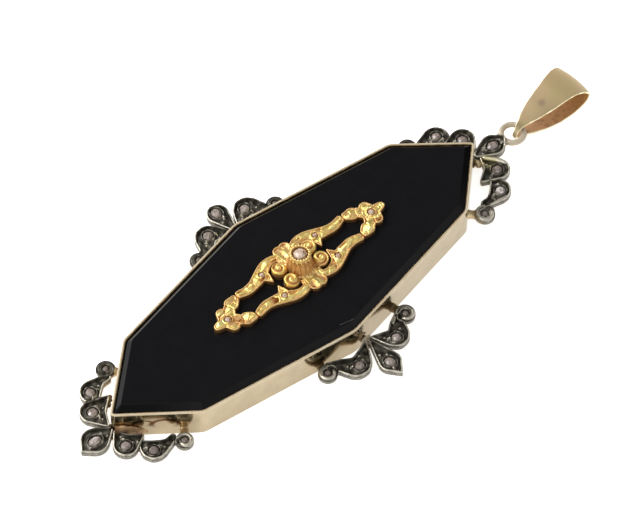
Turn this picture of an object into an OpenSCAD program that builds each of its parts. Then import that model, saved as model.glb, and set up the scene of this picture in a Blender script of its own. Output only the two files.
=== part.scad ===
// Onyx pendant that lies on its back: X across, Y along it towards the bail, Z up out of its front.
// Lengths are in millimetres. The origin is on the back of the case, between the two side corners.

/* [Plaque] */
// Length of the onyx inside the rim, from tip to tip
plaque_length = 60; // [58:0.5:62]
// Width of the onyx inside the rim, across the side corners
plaque_width = 21.4; // [20.8:0.1:22]
// How much further the upper tip is from the side corners than the lower tip
tip_difference = 0.3; // [0:0.1:0.6]
// Half the width across the lower shoulders
lower_shoulder_x = 7; // [6.6:0.1:7.4]
// Distance of the lower shoulders below the side corners
lower_shoulder_y = 21.55; // [21:0.05:22]
// Half the width across the upper shoulders
upper_shoulder_x = 6.8; // [6.4:0.1:7.2]
// Distance of the upper shoulders above the side corners
upper_shoulder_y = 22.5; // [22:0.1:23]
// Width of the bevel that shows inside the rim
bevel_width = 0.8; // [0.5:0.1:1.2]
// Height of the flat face of the onyx above the rim
onyx_rise = 0.65; // [0.4:0.05:0.9]

/* [Case] */
// Height of the case, from its back to the rim
case_height = 4.3; // [4:0.1:5]
// Width of the rim
rim_width = 0.36; // [0.34:0.02:0.44]
// How far the rim laps over the edge of the onyx
rim_lap = 0.08; // [0.05:0.01:0.1]
// Thickness of the back
back_thickness = 0.55; // [0.4:0.05:0.8]
// Clearance between the onyx and its case
fit_gap = 0.04; // [0.02:0.01:0.06]
// Clearance between pieces that lie on each other
seat_gap = 0.03; // [0.02:0.01:0.04]

/* [Ornaments] */
// Height of the gold backs of the ornaments above the back of the case
gold_bottom = 0.55; // [0.45:0.05:0.7]
// Thickness of the gold backs
gold_thickness = 0.3; // [0.25:0.05:0.4]
// Thickness of the silver under the sunk faces of the leaves
silver_thickness = 0.4; // [0.35:0.05:0.5]
// Height of the raised edge round each leaf
edge_height = 0.3; // [0.25:0.05:0.4]
// Width of the raised edge round each leaf
edge_width = 0.26; // [0.2:0.02:0.3]
// How far the end ornaments are shifted towards the bail
end_shift = 0.3; // [0:0.1:0.4]
// How far the upper ornament is shifted to the right
top_shift_x = 0.25; // [0:0.05:0.4]
// How far the side ornaments are shifted towards the bail
side_shift = 1; // [0:0.1:1.2]
// Width of the posts that carry the ornaments
post_width = 0.9; // [0.6:0.1:1.2]

/* [Overlay] */
// Thickness of the overlay
overlay_thickness = 0.75; // [0.5:0.05:1]
// How far the overlay is shifted towards the bail
overlay_shift = 1.05; // [0:0.05:1.2]
// Height of the raised middle setting above the overlay
boss_height = 2.5; // [1.8:0.1:2.6]
// Radius of the raised middle setting where it holds its stone
boss_radius = 1.3; // [1.15:0.05:1.4]

/* [Ring and bail] */
// Sideways place of the ring, which sits a little off the middle
hanger_x = 0.6; // [0.2:0.1:0.7]
// How far the bail hangs to the right of the ring's middle
bail_shift = 0.2; // [0:0.05:0.25]
// Angle by which the bail is turned to one side
bail_turn = 4; // [3:0.5:4.5]
// Radius of the ring to the middle of its wire
ring_radius = 1.45; // [1.4:0.05:1.5]
// Radius of the ring's wire
wire_radius = 0.38; // [0.34:0.02:0.4]
// Height of the middle of the ring's wire
ring_z = 1.2; // [1.15:0.05:1.3]
// Thickness of the bail's band
band = 0.38; // [0.32:0.02:0.42]
// Length of the bail from its narrow end to its fold
bail_length = 11.8; // [11.2:0.1:12.2]
// Half the width of the bail at its fold
bail_half_width = 2.8; // [2.5:0.05:3]
// Radius of the bail where it is thickest
belly_radius = 1.96; // [1.8:0.02:2.1]
// Radius of the bail's fold
fold_radius = 1.4; // [1.2:0.05:1.6]

/* [Hidden] */
STONES_END = 7;
STONES_SIDE = 5;
STONES_OVERLAY = 7;
$fn = 48;

// Corners of the onyx inside the rim, anticlockwise from the lower tip
half_width = plaque_width / 2;
upper_tip = (plaque_length + tip_difference) / 2;
lower_tip = plaque_length - upper_tip;
CORNERS = [
  [0, -lower_tip], [lower_shoulder_x, -lower_shoulder_y],
  [half_width, 0], [upper_shoulder_x, upper_shoulder_y],
  [0, upper_tip], [-upper_shoulder_x, upper_shoulder_y],
  [-half_width, 0], [-lower_shoulder_x, -lower_shoulder_y]
];
// Radius of each corner, which is soft at the shoulders and sharp at the tips
CORNER_RADII = [0.15, 1.5, 3, 1.5, 0.15, 1.5, 3, 1.5];
CORNER_STEPS = 4;
LEAST_RADIUS = 0.08;
LEAF_STEPS = 10;

// Heights of the onyx and its seat
onyx_top = case_height + onyx_rise;
bevel_slope = 1;
girdle_top = onyx_top - (bevel_width + rim_lap) * bevel_slope;
lap_bottom = onyx_top - bevel_width * bevel_slope + fit_gap / 2;

// Heights of the ornaments
gold_top = gold_bottom + gold_thickness;
silver_bottom = gold_top + seat_gap;
leaf_face = gold_top + silver_thickness;
edge_top = leaf_face + edge_height;
stone_seat = gold_top + 0.12;
stone_bottom = stone_seat + seat_gap;
gold_inset = 0.1;
end_root = 1.5;
side_root = 1.72;

// An ornament is laid out from its corner of the onyx: across it, and outwards from it.
// A leaf is a chain of discs from its root to its point, each row being across, outwards, radius.
function flipped(rows) = [for (row = rows) [-row.x, row.y, row.z]];
END_HUB = [0, 0.95, 0.85];
BOTTOM_MIDDLE = [[0, 0.75, 0.3], [-0.05, 3.3, 1.82], [0.1, 5.55, 0.12]];
TOP_MIDDLE = [[-0.15, 0.8, 0.5], [0.07, 3.2, 1.6], [0.39, 4.95, 0.12]];
BOTTOM_RIGHT_INNER = [[0.75, 0.7, 0.3], [3, 1, 1.6], [3.3, -1.3, 0.3]];
BOTTOM_LEFT_INNER = [[-0.75, 0.7, 0.3], [-3.4, 0.75, 1.65], [-3.8, -1.95, 0.3]];
TOP_RIGHT_INNER = [[0.75, 0.7, 0.3], [3.15, 1, 1.65], [3.25, -1.65, 0.3]];
TOP_LEFT_INNER = [[-0.75, 0.7, 0.3], [-3.15, 1, 1.65], [-3.8, -1.95, 0.3]];
END_OUTER = [[4.4, -0.6, 0.6], [5.8, -1, 1.37], [6.2, -2.7, 0.75], [6.05, -3.9, 0.55]];
BOTTOM_SCROLLS = [[7.2, -4.75, 1.15], [-7.2, -4.75, 1.25]];
TOP_SCROLLS = [[7.06, -4.9, 1.3], [-7.2, -4.75, 1.15]];
SIDE_HUB = [0, 1.25, 0.7];
LEFT_MIDDLE = [[0, 0.85, 0.2], [0, 4.5, 1.45], [0.05, 5.4, 0.58]];
SIDE_OUTER = [[0.45, 0.9, 0.2], [3.08, 2.92, 1.45], [4.55, 1.55, 0.98], [5.8, 0.4, 0.5]];
LEFT_SCROLLS = [[6.43, 0.9, 1.2], [-6.43, 0.9, 1.2]];
RIGHT_HUB = [-0.7, 1.25, 0.6];
RIGHT_MIDDLE = [[-0.7, 0.9, 0.2], [-0.38, 5, 1.5], [-0.3, 7.2, 0.12]];
RIGHT_LOWER = [[-0.1, 0.9, 0.2], [2.75, 2.92, 1.45], [4.4, 1.55, 0.98], [5.7, 0.4, 0.5]];
RIGHT_UPPER = [[-1.25, 0.9, 0.2], [-3.45, 2.92, 1.42], [-4.85, 1.6, 0.98], [-6.05, 0.5, 0.5]];
RIGHT_SCROLLS = [[6.35, 1.05, 1.22], [-6.75, 0.95, 1.3]];

// Each ornament: its hub, its leaves and its scroll ends. Each leaf tucks under the ones before it.
BOTTOM = [
  END_HUB,
  [BOTTOM_MIDDLE, BOTTOM_RIGHT_INNER, BOTTOM_LEFT_INNER, END_OUTER, flipped(END_OUTER)],
  BOTTOM_SCROLLS
];
TOP = [
  END_HUB,
  [TOP_MIDDLE, TOP_RIGHT_INNER, TOP_LEFT_INNER, END_OUTER, flipped(END_OUTER)],
  TOP_SCROLLS
];
RIGHT = [RIGHT_HUB, [RIGHT_MIDDLE, RIGHT_LOWER, RIGHT_UPPER], RIGHT_SCROLLS];
LEFT = [SIDE_HUB, [LEFT_MIDDLE, SIDE_OUTER, flipped(SIDE_OUTER)], LEFT_SCROLLS];

// Stones of the leaves: half their size across and outwards
END_STONES = [[0.72, 0.98], [0.76, 0.76], [0.76, 0.76], [0.72, 0.72], [0.72, 0.72]];
SIDE_STONES = [[0.74, 0.86], [0.74, 0.74], [0.74, 0.74]];
SCROLL_STONE = 0.5;
LEFT_MIDDLE_STONE = [0, 4.78];
collet_width = 0.18;
collet_top = leaf_face + 0.18;
stone_gap = 0.04;
stone_height = 0.64;
small_stone_height = 0.5;

// Scroll ends: a raised roll round a sunk floor, with a small stone in the middle
roll_width = 0.36;

// Shapes of one quarter of the overlay: across and along from its middle
OVERLAY_LEAF = [
  [1.7, 1.15, 0.4], [2.75, 1.35, 0.5], [3.05, 2.35, 0.62], [2.83, 3.45, 0.76],
  [2.2, 4.6, 0.9], [1.75, 6, 0.74], [1.6, 7.2, 0.68], [1.85, 8.4, 0.56]
];
OVERLAY_BARB = [[1.7, 4.25, 0.66], [0.5, 4.05, 0.12]];
OVERLAY_VOLUTE = [1.12, 2.42, 1];
OVERLAY_STEM = [[1.9, 1.25, 0.4], [0.8, 1.6, 0.35]];
OVERLAY_PETAL = [[0.9, 0.35, 0.6], [3.25, 0.45, 0.85]];
OVERLAY_LOBES = [
  [[1.72, 9.35, 0.62], [1.45, 10.1, 0.92]], [[1.2, 10.7, 0.7], [0.5, 11.4, 0.9]],
  [[1.15, 11.95, 0.75], [0.4, 12.1, 0.9]], [[0, 12.4, 0.85], [0, 13.6, 0.52]]
];
OVERLAY_STONES = [
  [0, 0, 0.95], [0, 12, 0.5], [0, -12, 0.5],
  [2.1, 4.45, 0.42], [-2.1, 4.45, 0.42], [2.1, -4.45, 0.42], [-2.1, -4.45, 0.42]
];
overlay_x = -0.15;
overlay_bottom = onyx_top + seat_gap;
overlay_top = overlay_bottom + overlay_thickness;
boss_top = overlay_top + boss_height;
boss_foot = 1.55;
boss_plate = 1.7;
volute_rise = 0.9;
volute_foot = 0.8;
volute_bead = 0.62;
overlay_seat_depth = 0.4;
overlay_stone_height = 0.55;
boss_stone_height = 0.7;
boss_seat_depth = 0.45;
pin_radius = 0.4;
pin_length = 2.4;
pin_y = 11.6;
pin_clearance = 0.05;
pin_head = 0.2;

// Ring and bail
ring_y = upper_tip + 6.69;
swing_y = ring_y + ring_radius - 0.08;
narrow_radius = 1.12;
narrow_y = swing_y - 0.53;
bail_start = narrow_y - narrow_radius;
bail_end = bail_start + bail_length;
belly_y = bail_end - 4.12;
fold_y = bail_end - fold_radius;
fold_z = 2;
neck_half_width = 0.5;
end_half_width = 0.38;
belly_half_width = 1.95;
FOLD_STEPS = 24;
BELLY_STEPS = 8;
shoe_width = 1;

// Points along an arc round a centre
function arc(centre, radius, from, to, steps) =
  [for (i = [0:steps])
    let (a = from + (to - from) * i / steps)
    centre + radius * [cos(a), sin(a)]];

// Unit vector along one side of an outline
function side(points, i) =
  let (n = len(points), step = points[(i + 1) % n] - points[i % n]) step / norm(step);
function outward(direction) = [direction.y, -direction.x];

// An outline moved outwards by a distance, or inwards where it is negative
function grown(points, distance) =
  let (n = len(points))
  [for (i = [0:n - 1])
    let (a = outward(side(points, i + n - 1)), b = outward(side(points, i)))
    points[i] + distance * (a + b) / (1 + a * b)];

// An outline with each of its corners turned into an arc
function softened(points, radii) =
  let (n = len(points))
  [for (i = [0:n - 1])
    let (
      a = side(points, i + n - 1), b = side(points, i), turn = acos(a * b),
      start = points[i] - a * radii[i] * tan(turn / 2), from = atan2(-a.x, a.y)
    )
    each arc(start - radii[i] * outward(a), radii[i], from, from + turn, CORNER_STEPS)];

// Outline of the plaque, moved outwards by a distance
function plaque_line(distance) =
  softened(grown(CORNERS, distance), [for (r = CORNER_RADII) max(r + distance, LEAST_RADIUS)]);

// Heading of the line from one disc to another, and half the opening of their outer tangents
function disc_heading(a, b) = atan2(b.y - a.y, b.x - a.x);
function disc_opening(a, b) = acos((a.z - b.z) / norm([b.x - a.x, b.y - a.y]));

// Outline of two discs joined by their outer tangents
function joined_discs(a, b, steps) =
  let (heading = disc_heading(a, b), open = disc_opening(a, b))
  concat(
    arc([a.x, a.y], a.z, heading + open, heading + 360 - open, steps),
    arc([b.x, b.y], b.z, heading - open, heading + open, steps)
  );

// Rows of a leaf with its edge moved in by a distance, and its pointed ends drawn back to keep their angle
function drawn_in(rows, distance) =
  let (last = len(rows) - 1)
  [for (i = [0:last])
    let (
      row = rows[i], neighbour = rows[i == 0 ? 1 : i - 1],
      pointed = (i == 0 || i == last) && row.z < distance + LEAST_RADIUS,
      share = pointed ? (neighbour.z - distance - LEAST_RADIUS) / (neighbour.z - row.z) : 1
    )
    [
      neighbour.x + (row.x - neighbour.x) * share, neighbour.y + (row.y - neighbour.y) * share,
      max(row.z - distance, LEAST_RADIUS)
    ]];

// A leaf as one flat shape
module leaf(rows, inset = 0) {
  shape = inset == 0 ? rows : drawn_in(rows, inset);
  for (i = [0:len(shape) - 2])
    polygon(joined_discs(shape[i], shape[i + 1], LEAF_STEPS));
}

module disc(place, inset = 0) {
  translate([place.x, place.y]) circle(r = place.z - inset);
}

module ornament_outline(parts, inset) {
  disc(parts[0], inset);
  for (rows = parts[1]) leaf(rows, inset);
  for (place = parts[2]) disc(place, inset);
}

// Raised edge of one leaf, cut back where another leaf lies over it
module leaf_edge(rows) {
  difference() {
    leaf(rows);
    leaf(rows, edge_width);
    children();
  }
}

module ornament_edges(parts) {
  leaves = parts[1];
  leaf_edge(leaves[0]);
  for (k = [1:len(leaves) - 1])
    leaf_edge(leaves[k]) {
      for (j = [0:k - 1]) leaf(leaves[j]);
      for (place = parts[2]) disc(place);
    }
}

// Roll round a scroll end
module roll(place) {
  difference() {
    disc(place);
    disc(place, roll_width);
  }
}

// Places of an ornament's stones: across, outwards, half size across, half size outwards, height
function stone_row(row, size) = [row.x, row.y, size.x, size.y, stone_height];
function scroll_row(row) = [row.x, row.y, SCROLL_STONE, SCROLL_STONE, small_stone_height];
function stone_rows(parts, sizes, middle) = concat(
  [stone_row(middle, sizes[0])],
  [for (k = [1:len(parts[1]) - 1]) stone_row(parts[1][k][1], sizes[k])],
  [for (place = parts[2]) scroll_row(place)]
);
BOTTOM_STONE_ROWS = stone_rows(BOTTOM, END_STONES, BOTTOM_MIDDLE[1]);
TOP_STONE_ROWS = stone_rows(TOP, END_STONES, TOP_MIDDLE[1]);
RIGHT_STONE_ROWS = stone_rows(RIGHT, SIDE_STONES, RIGHT_MIDDLE[1]);
LEFT_STONE_ROWS = stone_rows(LEFT, SIDE_STONES, LEFT_MIDDLE_STONE);

// Ellipse with true size across and outwards
module oval(half_x, half_y) {
  count = 20;
  polygon([for (i = [0:count - 1]) [half_x * cos(360 * i / count), half_y * sin(360 * i / count)]]);
}

module stone_ovals(rows, growth) {
  for (row = rows)
    translate([row[0], row[1]]) oval(row[2] + growth, row[3] + growth);
}

// A flat shape given thickness between two heights
module layer(bottom, top) {
  translate([0, 0, bottom]) linear_extrude(top - bottom) children();
}

// Silver top of an ornament: a plate, seats for its stones with a collet round each, and raised leaf edges
module silver_top(parts, rows) {
  layer(silver_bottom, stone_seat) ornament_outline(parts, 0);
  layer(stone_seat, leaf_face) difference() {
    ornament_outline(parts, 0);
    stone_ovals(rows, stone_gap);
  }
  layer(leaf_face, collet_top) difference() {
    stone_ovals(rows, stone_gap + collet_width);
    stone_ovals(rows, stone_gap);
  }
  layer(leaf_face, edge_top) {
    ornament_edges(parts);
    for (place = parts[2]) roll(place);
  }
}

// Places of the four ornaments round the case
module at_top() { translate([top_shift_x, upper_tip + end_shift]) children(); }
module at_bottom() { translate([0, end_shift - lower_tip]) mirror([0, 1]) children(); }
module at_right() { translate([half_width, side_shift]) rotate(-90) children(); }
module at_left() { translate([-half_width, side_shift]) mirror([1, 0]) rotate(-90) children(); }

// Post from a scroll end square onto the wall beside it
module scroll_post(place, wall_a, wall_b) {
  wall = wall_b - wall_a;
  normal = outward(wall / norm(wall));
  from = [place.x, place.y];
  reach = abs((from - wall_a) * normal) - rim_width / 2;
  heading = (from - wall_a) * normal > 0 ? atan2(-normal.y, -normal.x) : atan2(normal.y, normal.x);
  translate(from) rotate(heading) translate([0, -post_width / 2]) square([reach, post_width]);
}

// Gold under the ornaments, with the posts that join it to the wall
module end_gold(parts, tip, shoulder, shift_x, shift_y) {
  corner = [-shift_x, -shift_y];
  drop = [shoulder.x, shoulder.y - tip];
  ornament_outline(parts, gold_inset);
  scroll_post(parts[2][0], corner, corner + drop);
  scroll_post(parts[2][1], corner, corner + [-drop.x, drop.y]);
  translate([corner.x - post_width, corner.y - rim_width]) square([post_width * 2, end_root]);
}

module side_gold(parts) {
  corner = [side_shift, 0];
  lower_wall_end = corner + [lower_shoulder_y, lower_shoulder_x - half_width];
  upper_wall_end = corner + [-upper_shoulder_y, upper_shoulder_x - half_width];
  ornament_outline(parts, gold_inset);
  scroll_post(parts[2][0], corner, lower_wall_end);
  scroll_post(parts[2][1], corner, upper_wall_end);
  translate([parts[0].x - post_width / 2, -rim_width]) square([post_width, side_root]);
}

module ring_place() { translate([hanger_x, ring_y, ring_z]) children(); }

module ring() {
  ring_place() rotate_extrude() translate([ring_radius, 0]) circle(r = wire_radius, $fn = 24);
}

// Gold shoe that carries the near side of the ring on the upper leaf
module ring_shoe(growth) {
  depth = wire_radius * 2;
  translate([hanger_x - shoe_width / 2 - growth, ring_y - ring_radius - depth / 2 - growth, gold_bottom])
    cube([shoe_width + 2 * growth, depth + growth, ring_z + growth - gold_bottom]);
}

module tray() {
  difference() {
    linear_extrude(case_height) polygon(plaque_line(rim_width));
    layer(back_thickness, lap_bottom) polygon(plaque_line(rim_lap + fit_gap));
    layer(lap_bottom, case_height + 1) polygon(plaque_line(0));
  }
}

module case() {
  upper_shoulder = [upper_shoulder_x, upper_shoulder_y];
  lower_shoulder = [lower_shoulder_x, lower_shoulder_y];
  color("#d9b88c") {
    tray();
    layer(gold_bottom, gold_top) difference() {
      union() {
        at_top() end_gold(TOP, upper_tip, upper_shoulder, top_shift_x, end_shift);
        at_bottom() end_gold(BOTTOM, lower_tip, lower_shoulder, 0, -end_shift);
        at_right() side_gold(RIGHT);
        at_left() side_gold(LEFT);
      }
      polygon(plaque_line(rim_lap + fit_gap));
    }
    ring();
    ring_shoe(0);
  }
}

module onyx() {
  n = len(plaque_line(0));
  rings = [[rim_lap, back_thickness + seat_gap], [rim_lap, girdle_top], [-bevel_width, onyx_top]];
  points = [for (ring = rings) each [for (p = plaque_line(ring.x)) [p.x, p.y, ring.y]]];
  walls = [for (k = [0:1]) each [for (i = [0:n - 1])
    [k * n + i, (k + 1) * n + i, (k + 1) * n + (i + 1) % n, k * n + (i + 1) % n]]];
  color("#1c1c1e") difference() {
    polyhedron(points, concat([[for (i = [0:n - 1]) i], [for (i = [n - 1:-1:0]) 2 * n + i]], walls));
    overlay_pins(pin_clearance);
  }
}

module top_ornament() {
  color("#8d8a80") difference() {
    at_top() silver_top(TOP, TOP_STONE_ROWS);
    ring_place() cylinder(r = ring_radius + wire_radius + seat_gap, h = edge_top, center = true);
    ring_shoe(seat_gap);
  }
}

// The lower ornament reaches round the tip of the case, so the case is cut out of it
module bottom_ornament() {
  color("#8d8a80") difference() {
    at_bottom() silver_top(BOTTOM, BOTTOM_STONE_ROWS);
    linear_extrude(case_height) polygon(plaque_line(rim_width + seat_gap));
  }
}

module right_ornament() { color("#8d8a80") at_right() silver_top(RIGHT, RIGHT_STONE_ROWS); }
module left_ornament() { color("#8d8a80") at_left() silver_top(LEFT, LEFT_STONE_ROWS); }

// A cut stone: eight-sided table, a crown of triangles and a flat underside
module stone(half_x, half_y, height) {
  sides = 8;
  // Size and height of each ring of corners, as shares of the stone
  rings = [[0.86, 0], [1, 0.25], [0.82, 0.68], [0.46, 1]];
  turns = [0, 0, 0.5, 0.5];
  points = [for (k = [0:3]) each [for (i = [0:sides - 1])
    let (a = 360 * (i + turns[k]) / sides)
    [half_x * rings[k].x * cos(a), half_y * rings[k].x * sin(a), height * rings[k].y]]];
  crown = [for (k = [0:2]) each [for (i = [0:sides - 1])
    let (a = k * sides + i, b = k * sides + (i + 1) % sides, c = a + sides, d = b + sides)
    each [[a, c, b], [b, c, d]]]];
  underside = [for (i = [0:sides - 1]) i];
  table = [for (i = [sides - 1:-1:0]) 3 * sides + i];
  polyhedron(points, concat([underside, table], crown));
}

module placed_stone(row) {
  translate([row[0], row[1], stone_bottom]) stone(row[2], row[3], row[4]);
}

// One quarter of the overlay as flat shapes
module overlay_quarter() {
  leaf(OVERLAY_LEAF);
  leaf(OVERLAY_BARB);
  leaf(OVERLAY_STEM);
  leaf(OVERLAY_PETAL);
  disc(OVERLAY_VOLUTE);
  for (lobe = OVERLAY_LOBES) leaf(lobe);
}

module four_quarters() {
  children();
  mirror([1, 0, 0]) children();
  mirror([0, 1, 0]) {
    children();
    mirror([1, 0, 0]) children();
  }
}

// Height of the seat of one of the overlay's stones
function is_middle(row) = row.y == 0;
function overlay_seat(row) = is_middle(row) ? boss_top - boss_seat_depth : overlay_top - overlay_seat_depth;

module overlay_pins(growth) {
  for (end = [-1, 1])
    translate([overlay_x, overlay_shift + end * pin_y, onyx_top - pin_length - growth])
      cylinder(r = pin_radius + growth, h = pin_length + growth + pin_head);
}

module overlay() {
  color("#dcb95e") {
    overlay_pins(0);
    translate([overlay_x, overlay_shift, 0]) difference() {
      union() {
        layer(overlay_bottom, overlay_top) {
          four_quarters() overlay_quarter();
          circle(r = boss_plate);
        }
        four_quarters() translate([OVERLAY_VOLUTE.x, OVERLAY_VOLUTE.y, overlay_top])
          cylinder(r1 = volute_foot, r2 = volute_bead, h = volute_rise, $fn = 24);
        translate([0, 0, overlay_top]) cylinder(r1 = boss_foot, r2 = boss_radius, h = boss_height);
      }
      for (row = OVERLAY_STONES)
        translate([row.x, row.y, overlay_seat(row)]) cylinder(r = row.z + stone_gap, h = boss_height);
    }
  }
}

module overlay_stone(i) {
  row = OVERLAY_STONES[i];
  translate([overlay_x + row.x, overlay_shift + row.y, overlay_seat(row) + seat_gap])
    stone(row.z, row.z, is_middle(row) ? boss_stone_height : overlay_stone_height);
}

// Side view of the bail: a narrow round end, a full belly and a round fold, joined by straight leaves
module bail_profile(inset) {
  narrow = [narrow_y, ring_z, narrow_radius - inset];
  belly = [belly_y, belly_radius, belly_radius - inset];
  fold = [fold_y, fold_z, fold_radius - inset];
  near = disc_heading(narrow, belly);
  near_opening = disc_opening(narrow, belly);
  far = disc_heading(belly, fold);
  far_opening = disc_opening(belly, fold);
  polygon(concat(
    arc([narrow.x, narrow.y], narrow.z, near + near_opening, near + 360 - near_opening, FOLD_STEPS),
    arc([belly.x, belly.y], belly.z, near - near_opening, far - far_opening, BELLY_STEPS),
    arc([fold.x, fold.y], fold.z, far - far_opening, far + far_opening, FOLD_STEPS),
    arc([belly.x, belly.y], belly.z, far + far_opening, near + near_opening, BELLY_STEPS)
  ));
}

module bail() {
  // One edge of the bail seen from above: half its width, and its place along the bail
  edge = [
    [end_half_width, bail_start - 1], [end_half_width, bail_start], [neck_half_width, swing_y],
    [belly_half_width, belly_y], [bail_half_width, bail_end + 0.1]
  ];
  swing_place = [hanger_x + bail_shift, swing_y, 0];
  color("#cfa970") translate(swing_place) rotate(bail_turn) translate([0, -swing_y, 0]) intersection() {
    translate([-bail_half_width, 0, 0]) rotate([90, 0, 90]) linear_extrude(2 * bail_half_width)
      difference() {
        bail_profile(0);
        bail_profile(band);
      }
    translate([0, 0, -1]) linear_extrude(2 * belly_radius + 2)
      polygon(concat(edge, [for (i = [len(edge) - 1:-1:0]) [-edge[i].x, edge[i].y]]));
  }
}

case();
onyx();
bottom_ornament();
top_ornament();
right_ornament();
left_ornament();
overlay();
bail();
for (i = [1:STONES_END])
  color("#b9aaa6") at_bottom() placed_stone(BOTTOM_STONE_ROWS[i - 1]);
for (i = [1:STONES_END])
  color("#b9aaa6") at_top() placed_stone(TOP_STONE_ROWS[i - 1]);
for (i = [1:STONES_SIDE])
  color("#b9aaa6") at_right() placed_stone(RIGHT_STONE_ROWS[i - 1]);
for (i = [1:STONES_SIDE])
  color("#b9aaa6") at_left() placed_stone(LEFT_STONE_ROWS[i - 1]);
for (i = [1:STONES_OVERLAY])
  color("#b9aaa6") overlay_stone(i - 1);
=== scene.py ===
import math

import bmesh
import bpy
import numpy as np
from mathutils import Matrix, Vector


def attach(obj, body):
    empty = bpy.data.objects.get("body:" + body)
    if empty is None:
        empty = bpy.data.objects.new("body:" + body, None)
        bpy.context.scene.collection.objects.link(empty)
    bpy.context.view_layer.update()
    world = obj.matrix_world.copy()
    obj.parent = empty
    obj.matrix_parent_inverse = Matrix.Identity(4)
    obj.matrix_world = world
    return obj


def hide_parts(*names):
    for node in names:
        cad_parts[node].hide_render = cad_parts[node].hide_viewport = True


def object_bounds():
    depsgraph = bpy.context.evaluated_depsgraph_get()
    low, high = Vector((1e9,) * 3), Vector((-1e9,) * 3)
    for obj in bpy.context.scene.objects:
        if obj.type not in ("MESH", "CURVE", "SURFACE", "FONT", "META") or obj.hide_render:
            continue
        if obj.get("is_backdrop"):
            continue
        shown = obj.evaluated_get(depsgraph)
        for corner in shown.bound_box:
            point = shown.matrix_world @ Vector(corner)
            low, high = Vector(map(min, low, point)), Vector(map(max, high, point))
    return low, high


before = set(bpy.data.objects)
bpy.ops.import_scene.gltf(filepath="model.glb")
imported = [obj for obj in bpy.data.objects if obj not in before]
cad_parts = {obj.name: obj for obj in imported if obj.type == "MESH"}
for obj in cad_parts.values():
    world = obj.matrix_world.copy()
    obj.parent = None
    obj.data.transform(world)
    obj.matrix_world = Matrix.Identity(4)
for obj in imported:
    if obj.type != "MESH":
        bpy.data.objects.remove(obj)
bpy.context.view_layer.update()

# Lengths are in millimetres until a mesh is made. X is across, Y is towards the bail and Z is up.
MM = 0.001
PENDANT = "pendant_body"
BAIL = "swinging_bail"

# The same values as in the part's source. Rows of a shape are (x, y, radius).
TIP_UP, TIP_DOWN, SIDE_X = 30.15, 29.85, 10.7
CORNERS = [
    (0, -TIP_DOWN), (7, -21.55), (SIDE_X, 0), (6.8, 22.5),
    (0, TIP_UP), (-6.8, 22.5), (-SIDE_X, 0), (-7, -21.55),
]
RIM_WIDTH, SEAT_GAP, CASE_HEIGHT = 0.36, 0.03, 4.3
END_SHIFT, TOP_SHIFT_X, SIDE_SHIFT = 0.3, 0.25, 1.0
GOLD_BOTTOM, SILVER_BOTTOM, LEAF_FACE, EDGE_TOP = 0.55, 0.88, 1.25, 1.55
STONE_BOTTOM, STONE_HEIGHT, SMALL_STONE_HEIGHT = 1.0, 0.64, 0.5
END_HUB = (0, 0.95, 0.85)
BOTTOM_MIDDLE = [(0, 0.75, 0.3), (-0.05, 3.3, 1.82), (0.1, 5.55, 0.12)]
TOP_MIDDLE = [(-0.15, 0.8, 0.5), (0.07, 3.2, 1.6), (0.39, 4.95, 0.12)]
BOTTOM_RIGHT_INNER = [(0.75, 0.7, 0.3), (3, 1, 1.6), (3.3, -1.3, 0.3)]
BOTTOM_LEFT_INNER = [(-0.75, 0.7, 0.3), (-3.4, 0.75, 1.65), (-3.8, -1.95, 0.3)]
TOP_RIGHT_INNER = [(0.75, 0.7, 0.3), (3.15, 1, 1.65), (3.25, -1.65, 0.3)]
TOP_LEFT_INNER = [(-0.75, 0.7, 0.3), (-3.15, 1, 1.65), (-3.8, -1.95, 0.3)]
END_OUTER = [(4.4, -0.6, 0.6), (5.8, -1, 1.37), (6.2, -2.7, 0.75), (6.05, -3.9, 0.55)]
BOTTOM_SCROLLS = [(7.2, -4.75, 1.15), (-7.2, -4.75, 1.25)]
TOP_SCROLLS = [(7.06, -4.9, 1.3), (-7.2, -4.75, 1.15)]
SIDE_HUB = (0, 1.25, 0.7)
RIGHT_MIDDLE = [(-0.7, 0.9, 0.2), (-0.38, 5.0, 1.5), (-0.3, 7.2, 0.12)]
LEFT_MIDDLE = [(0, 0.85, 0.2), (0, 4.5, 1.45), (0.05, 5.4, 0.58)]
SIDE_OUTER = [(0.45, 0.9, 0.2), (3.08, 2.92, 1.45), (4.55, 1.55, 0.98), (5.8, 0.4, 0.5)]
LEFT_SCROLLS = [(6.43, 0.9, 1.2), (-6.43, 0.9, 1.2)]
RIGHT_HUB = (-0.7, 1.25, 0.6)
RIGHT_LOWER = [(-0.1, 0.9, 0.2), (2.75, 2.92, 1.45), (4.4, 1.55, 0.98), (5.7, 0.4, 0.5)]
RIGHT_UPPER = [(-1.25, 0.9, 0.2), (-3.45, 2.92, 1.42), (-4.85, 1.6, 0.98), (-6.05, 0.5, 0.5)]
RIGHT_SCROLLS = [(6.35, 1.05, 1.22), (-6.75, 0.95, 1.3)]
OVERLAY_LEAF = [
    (1.7, 1.15, 0.4), (2.75, 1.35, 0.5), (3.05, 2.35, 0.62), (2.83, 3.45, 0.76),
    (2.2, 4.6, 0.9), (1.75, 6, 0.74), (1.6, 7.2, 0.68), (1.85, 8.4, 0.56),
]
OVERLAY_BARB = [(1.7, 4.25, 0.66), (0.5, 4.05, 0.12)]
OVERLAY_VOLUTE = (1.12, 2.42, 1)
OVERLAY_STEM = [(1.9, 1.25, 0.4), (0.8, 1.6, 0.35)]
OVERLAY_PETAL = [(0.9, 0.35, 0.6), (3.25, 0.45, 0.85)]
OVERLAY_LOBES = [
    [(1.72, 9.35, 0.62), (1.45, 10.1, 0.92)], [(1.2, 10.7, 0.7), (0.5, 11.4, 0.9)],
    [(1.15, 11.95, 0.75), (0.4, 12.1, 0.9)], [(0, 12.4, 0.85), (0, 13.6, 0.52)],
]
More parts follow.
